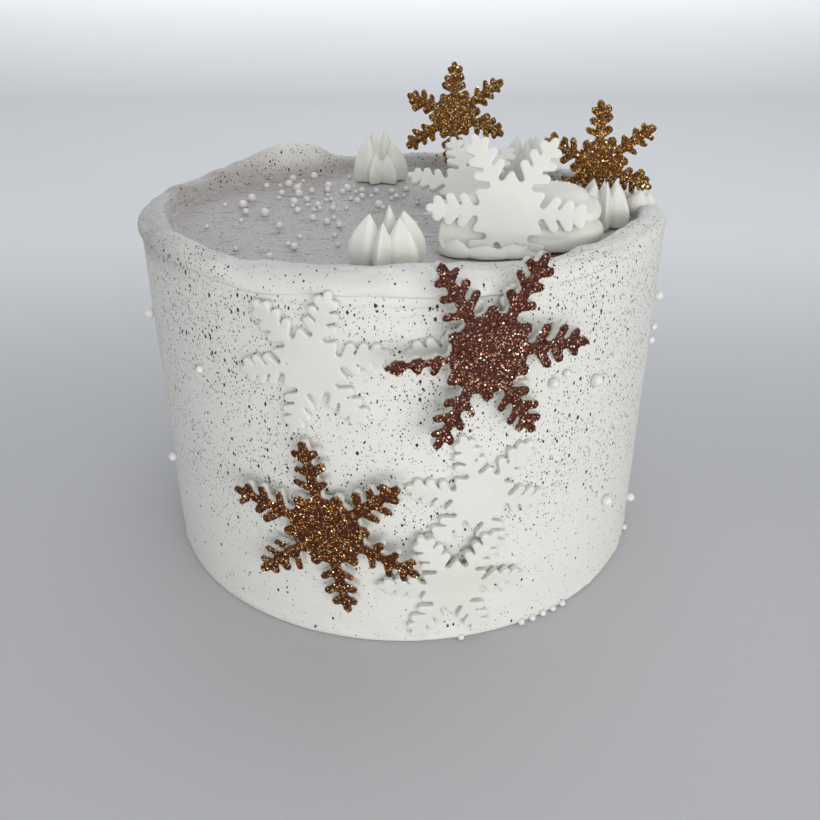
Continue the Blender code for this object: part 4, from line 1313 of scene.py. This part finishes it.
def make_dabs(mat):
    """Small dabs of cream with pulled tips, stuck to the rim and the top."""
    whole = bmesh.new()
    for place, radius, height in CREAM_DABS:
        bm = petal(height, radius, radius, -DAB_PULL, 0.0)
        bmesh.ops.translate(bm, verts=bm.verts[:], vec=Vector(place) * MM)
        whole.from_mesh(mesh_of(bm, "dab"))
    item = add_object("cream_dabs", mesh_of(whole, "cream_dabs"))
    fuse(item, *DAB_FUSE)
    return finish_piece(item, mat, "cake_body")


def flatten_against(item, flake):
    """Presses a dollop flat along the back face of the flake that leans on it."""
    centre, degrees, lean, turn, _ = LEANING_FLAKES[flake]
    stand = stand_matrix(centre, degrees, lean, turn)
    normal = stand.to_3x3() @ Vector((0.0, 0.0, 1.0))
    back = stand @ Vector((0.0, 0.0, -FONDANT_THICKNESS / 2))
    for vert in item.data.vertices:
        up = vert.co.z - FLOOR_OF_TOPPINGS
        limit = (FONDANT_THICKNESS + BED_OUT) * smooth(*BED_FADE, up)
        depth = (vert.co - back).dot(normal) - limit
        if depth > 0.0:
            vert.co -= normal * depth


# The stage


def make_stage():
    """A pale floor that runs up into a backdrop."""
    bm = bmesh.new()
    edge = [bm.verts.new((side * FLOOR_HALF_WIDTH, FLOOR_NEAR_END, 0.0)) for side in (-1.0, 1.0)]
    line = [bm.edges.new(edge)]
    path = [(0.0, FLOOR_LENGTH, 0.0)]
    path += [(0.0, CURVE_RUN * n, CURVE_RISE * n * n) for n in range(1, CURVE_STEPS + 1)]
    path.append((0.0, 0.0, BACKDROP_HEIGHT))
    for step in path:
        made = bmesh.ops.extrude_edge_only(bm, edges=line)["geom"]
        verts = [item for item in made if isinstance(item, bmesh.types.BMVert)]
        line = [item for item in made if isinstance(item, bmesh.types.BMEdge)]
        bmesh.ops.translate(bm, verts=verts, vec=step)
    bmesh.ops.recalc_face_normals(bm, faces=bm.faces[:])
    mat, tree, shader = make_material("pale_floor")
    place = object_place(tree)
    cloud = noise_value(tree, place, *FLOOR_CLOUDS)
    depth = add_node(tree, "ShaderNodeSeparateXYZ", Vector=place).outputs[1]
    near, far = (mix_colours(tree, cloud, *tones) for tones in (FLOOR_NEAR_TONES, FLOOR_FAR_TONES))
    colour = mix_colours(tree, ramp_between(tree, depth, *FLOOR_FADE), near, far)
    fill_inputs(tree, shader, {"Base Color": colour, "Roughness": FLOOR_ROUGHNESS})
    floor = add_object("floor", mesh_of(bm, "floor"))
    floor.data.materials.append(mat)
    floor.data.shade_smooth()


def light_scene():
    """Soft lights from the front and right, with a pale surround."""
    scene = bpy.context.scene
    world = bpy.data.worlds.new("surround")
    world.use_nodes = True
    world.node_tree.nodes["Background"].inputs["Color"].default_value = SURROUND
    world.node_tree.nodes["Background"].inputs["Strength"].default_value = SURROUND_STRENGTH
    scene.world = world
    for name, (place, aim, size, power, colour) in LIGHTS.items():
        light = bpy.data.lights.new(name, "AREA")
        light.shape = "RECTANGLE"
        light.size, light.size_y = size
        light.energy = power
        light.color = colour
        item = bpy.data.objects.new(name, light)
        item.location = place
        item.rotation_euler = (Vector(aim) - Vector(place)).to_track_quat("-Z", "Y").to_euler()
        scene.collection.objects.link(item)
    scene.view_settings.view_transform = "Standard"


def make_camera():
    """The camera, at the angle that the size was fitted with."""
    data = bpy.data.cameras.new("camera")
    data.lens = CAMERA_LENS
    data.sensor_width = CAMERA_SENSOR
    data.clip_start = CAMERA_NEAREST
    camera = bpy.data.objects.new("camera", data)
    camera.location = CAMERA_PLACE
    camera.rotation_euler = (math.pi / 2 - CAMERA_DOWN, 0.0, -CAMERA_RIGHT)
    bpy.context.scene.collection.objects.link(camera)
    bpy.context.scene.camera = camera


def dress_part():
    """Makes every piece of the cake."""
    splatter = make_splatter_group()
    cream = cream_material("piped_cream_smooth", *PIPED_LOOK)
    fondant = cream_material("fondant_white", *FONDANT_LOOK, splatter)
    make_frosting(buttercream_material(splatter))
    make_pearls(pearl_material())
    for name in (*WALL_FLAKES, *LEANING_FLAKES):
        make_fondant_flake(name, fondant)
    casts = {slot: glitter_base_material(*cast) for slot, cast in CASTS.items()}
    grains = {name: glitter_grain_material(name, *tones) for name, tones in GRAIN_TONES.items()}
    sparkles = {name: sparkle_material(name, tone) for name, tone in SPARKLE_TONES.items()}
    for number, name in enumerate(GLITTER_FLAKES):
        seed = FLAKE_SEED_STEP * number + 1
        slot, grain, sparkle = GLITTER_LOOKS[name]
        make_glitter_flake(name, seed, casts[slot], grains[grain], sparkles[sparkle], slot)
    for name in STARS:
        make_star(name, cream)
    for name in DOLLOPS:
        make_dollop(name, cream)
    make_dabs(cream)


make_camera()
dress_part()
make_stage()
light_scene()
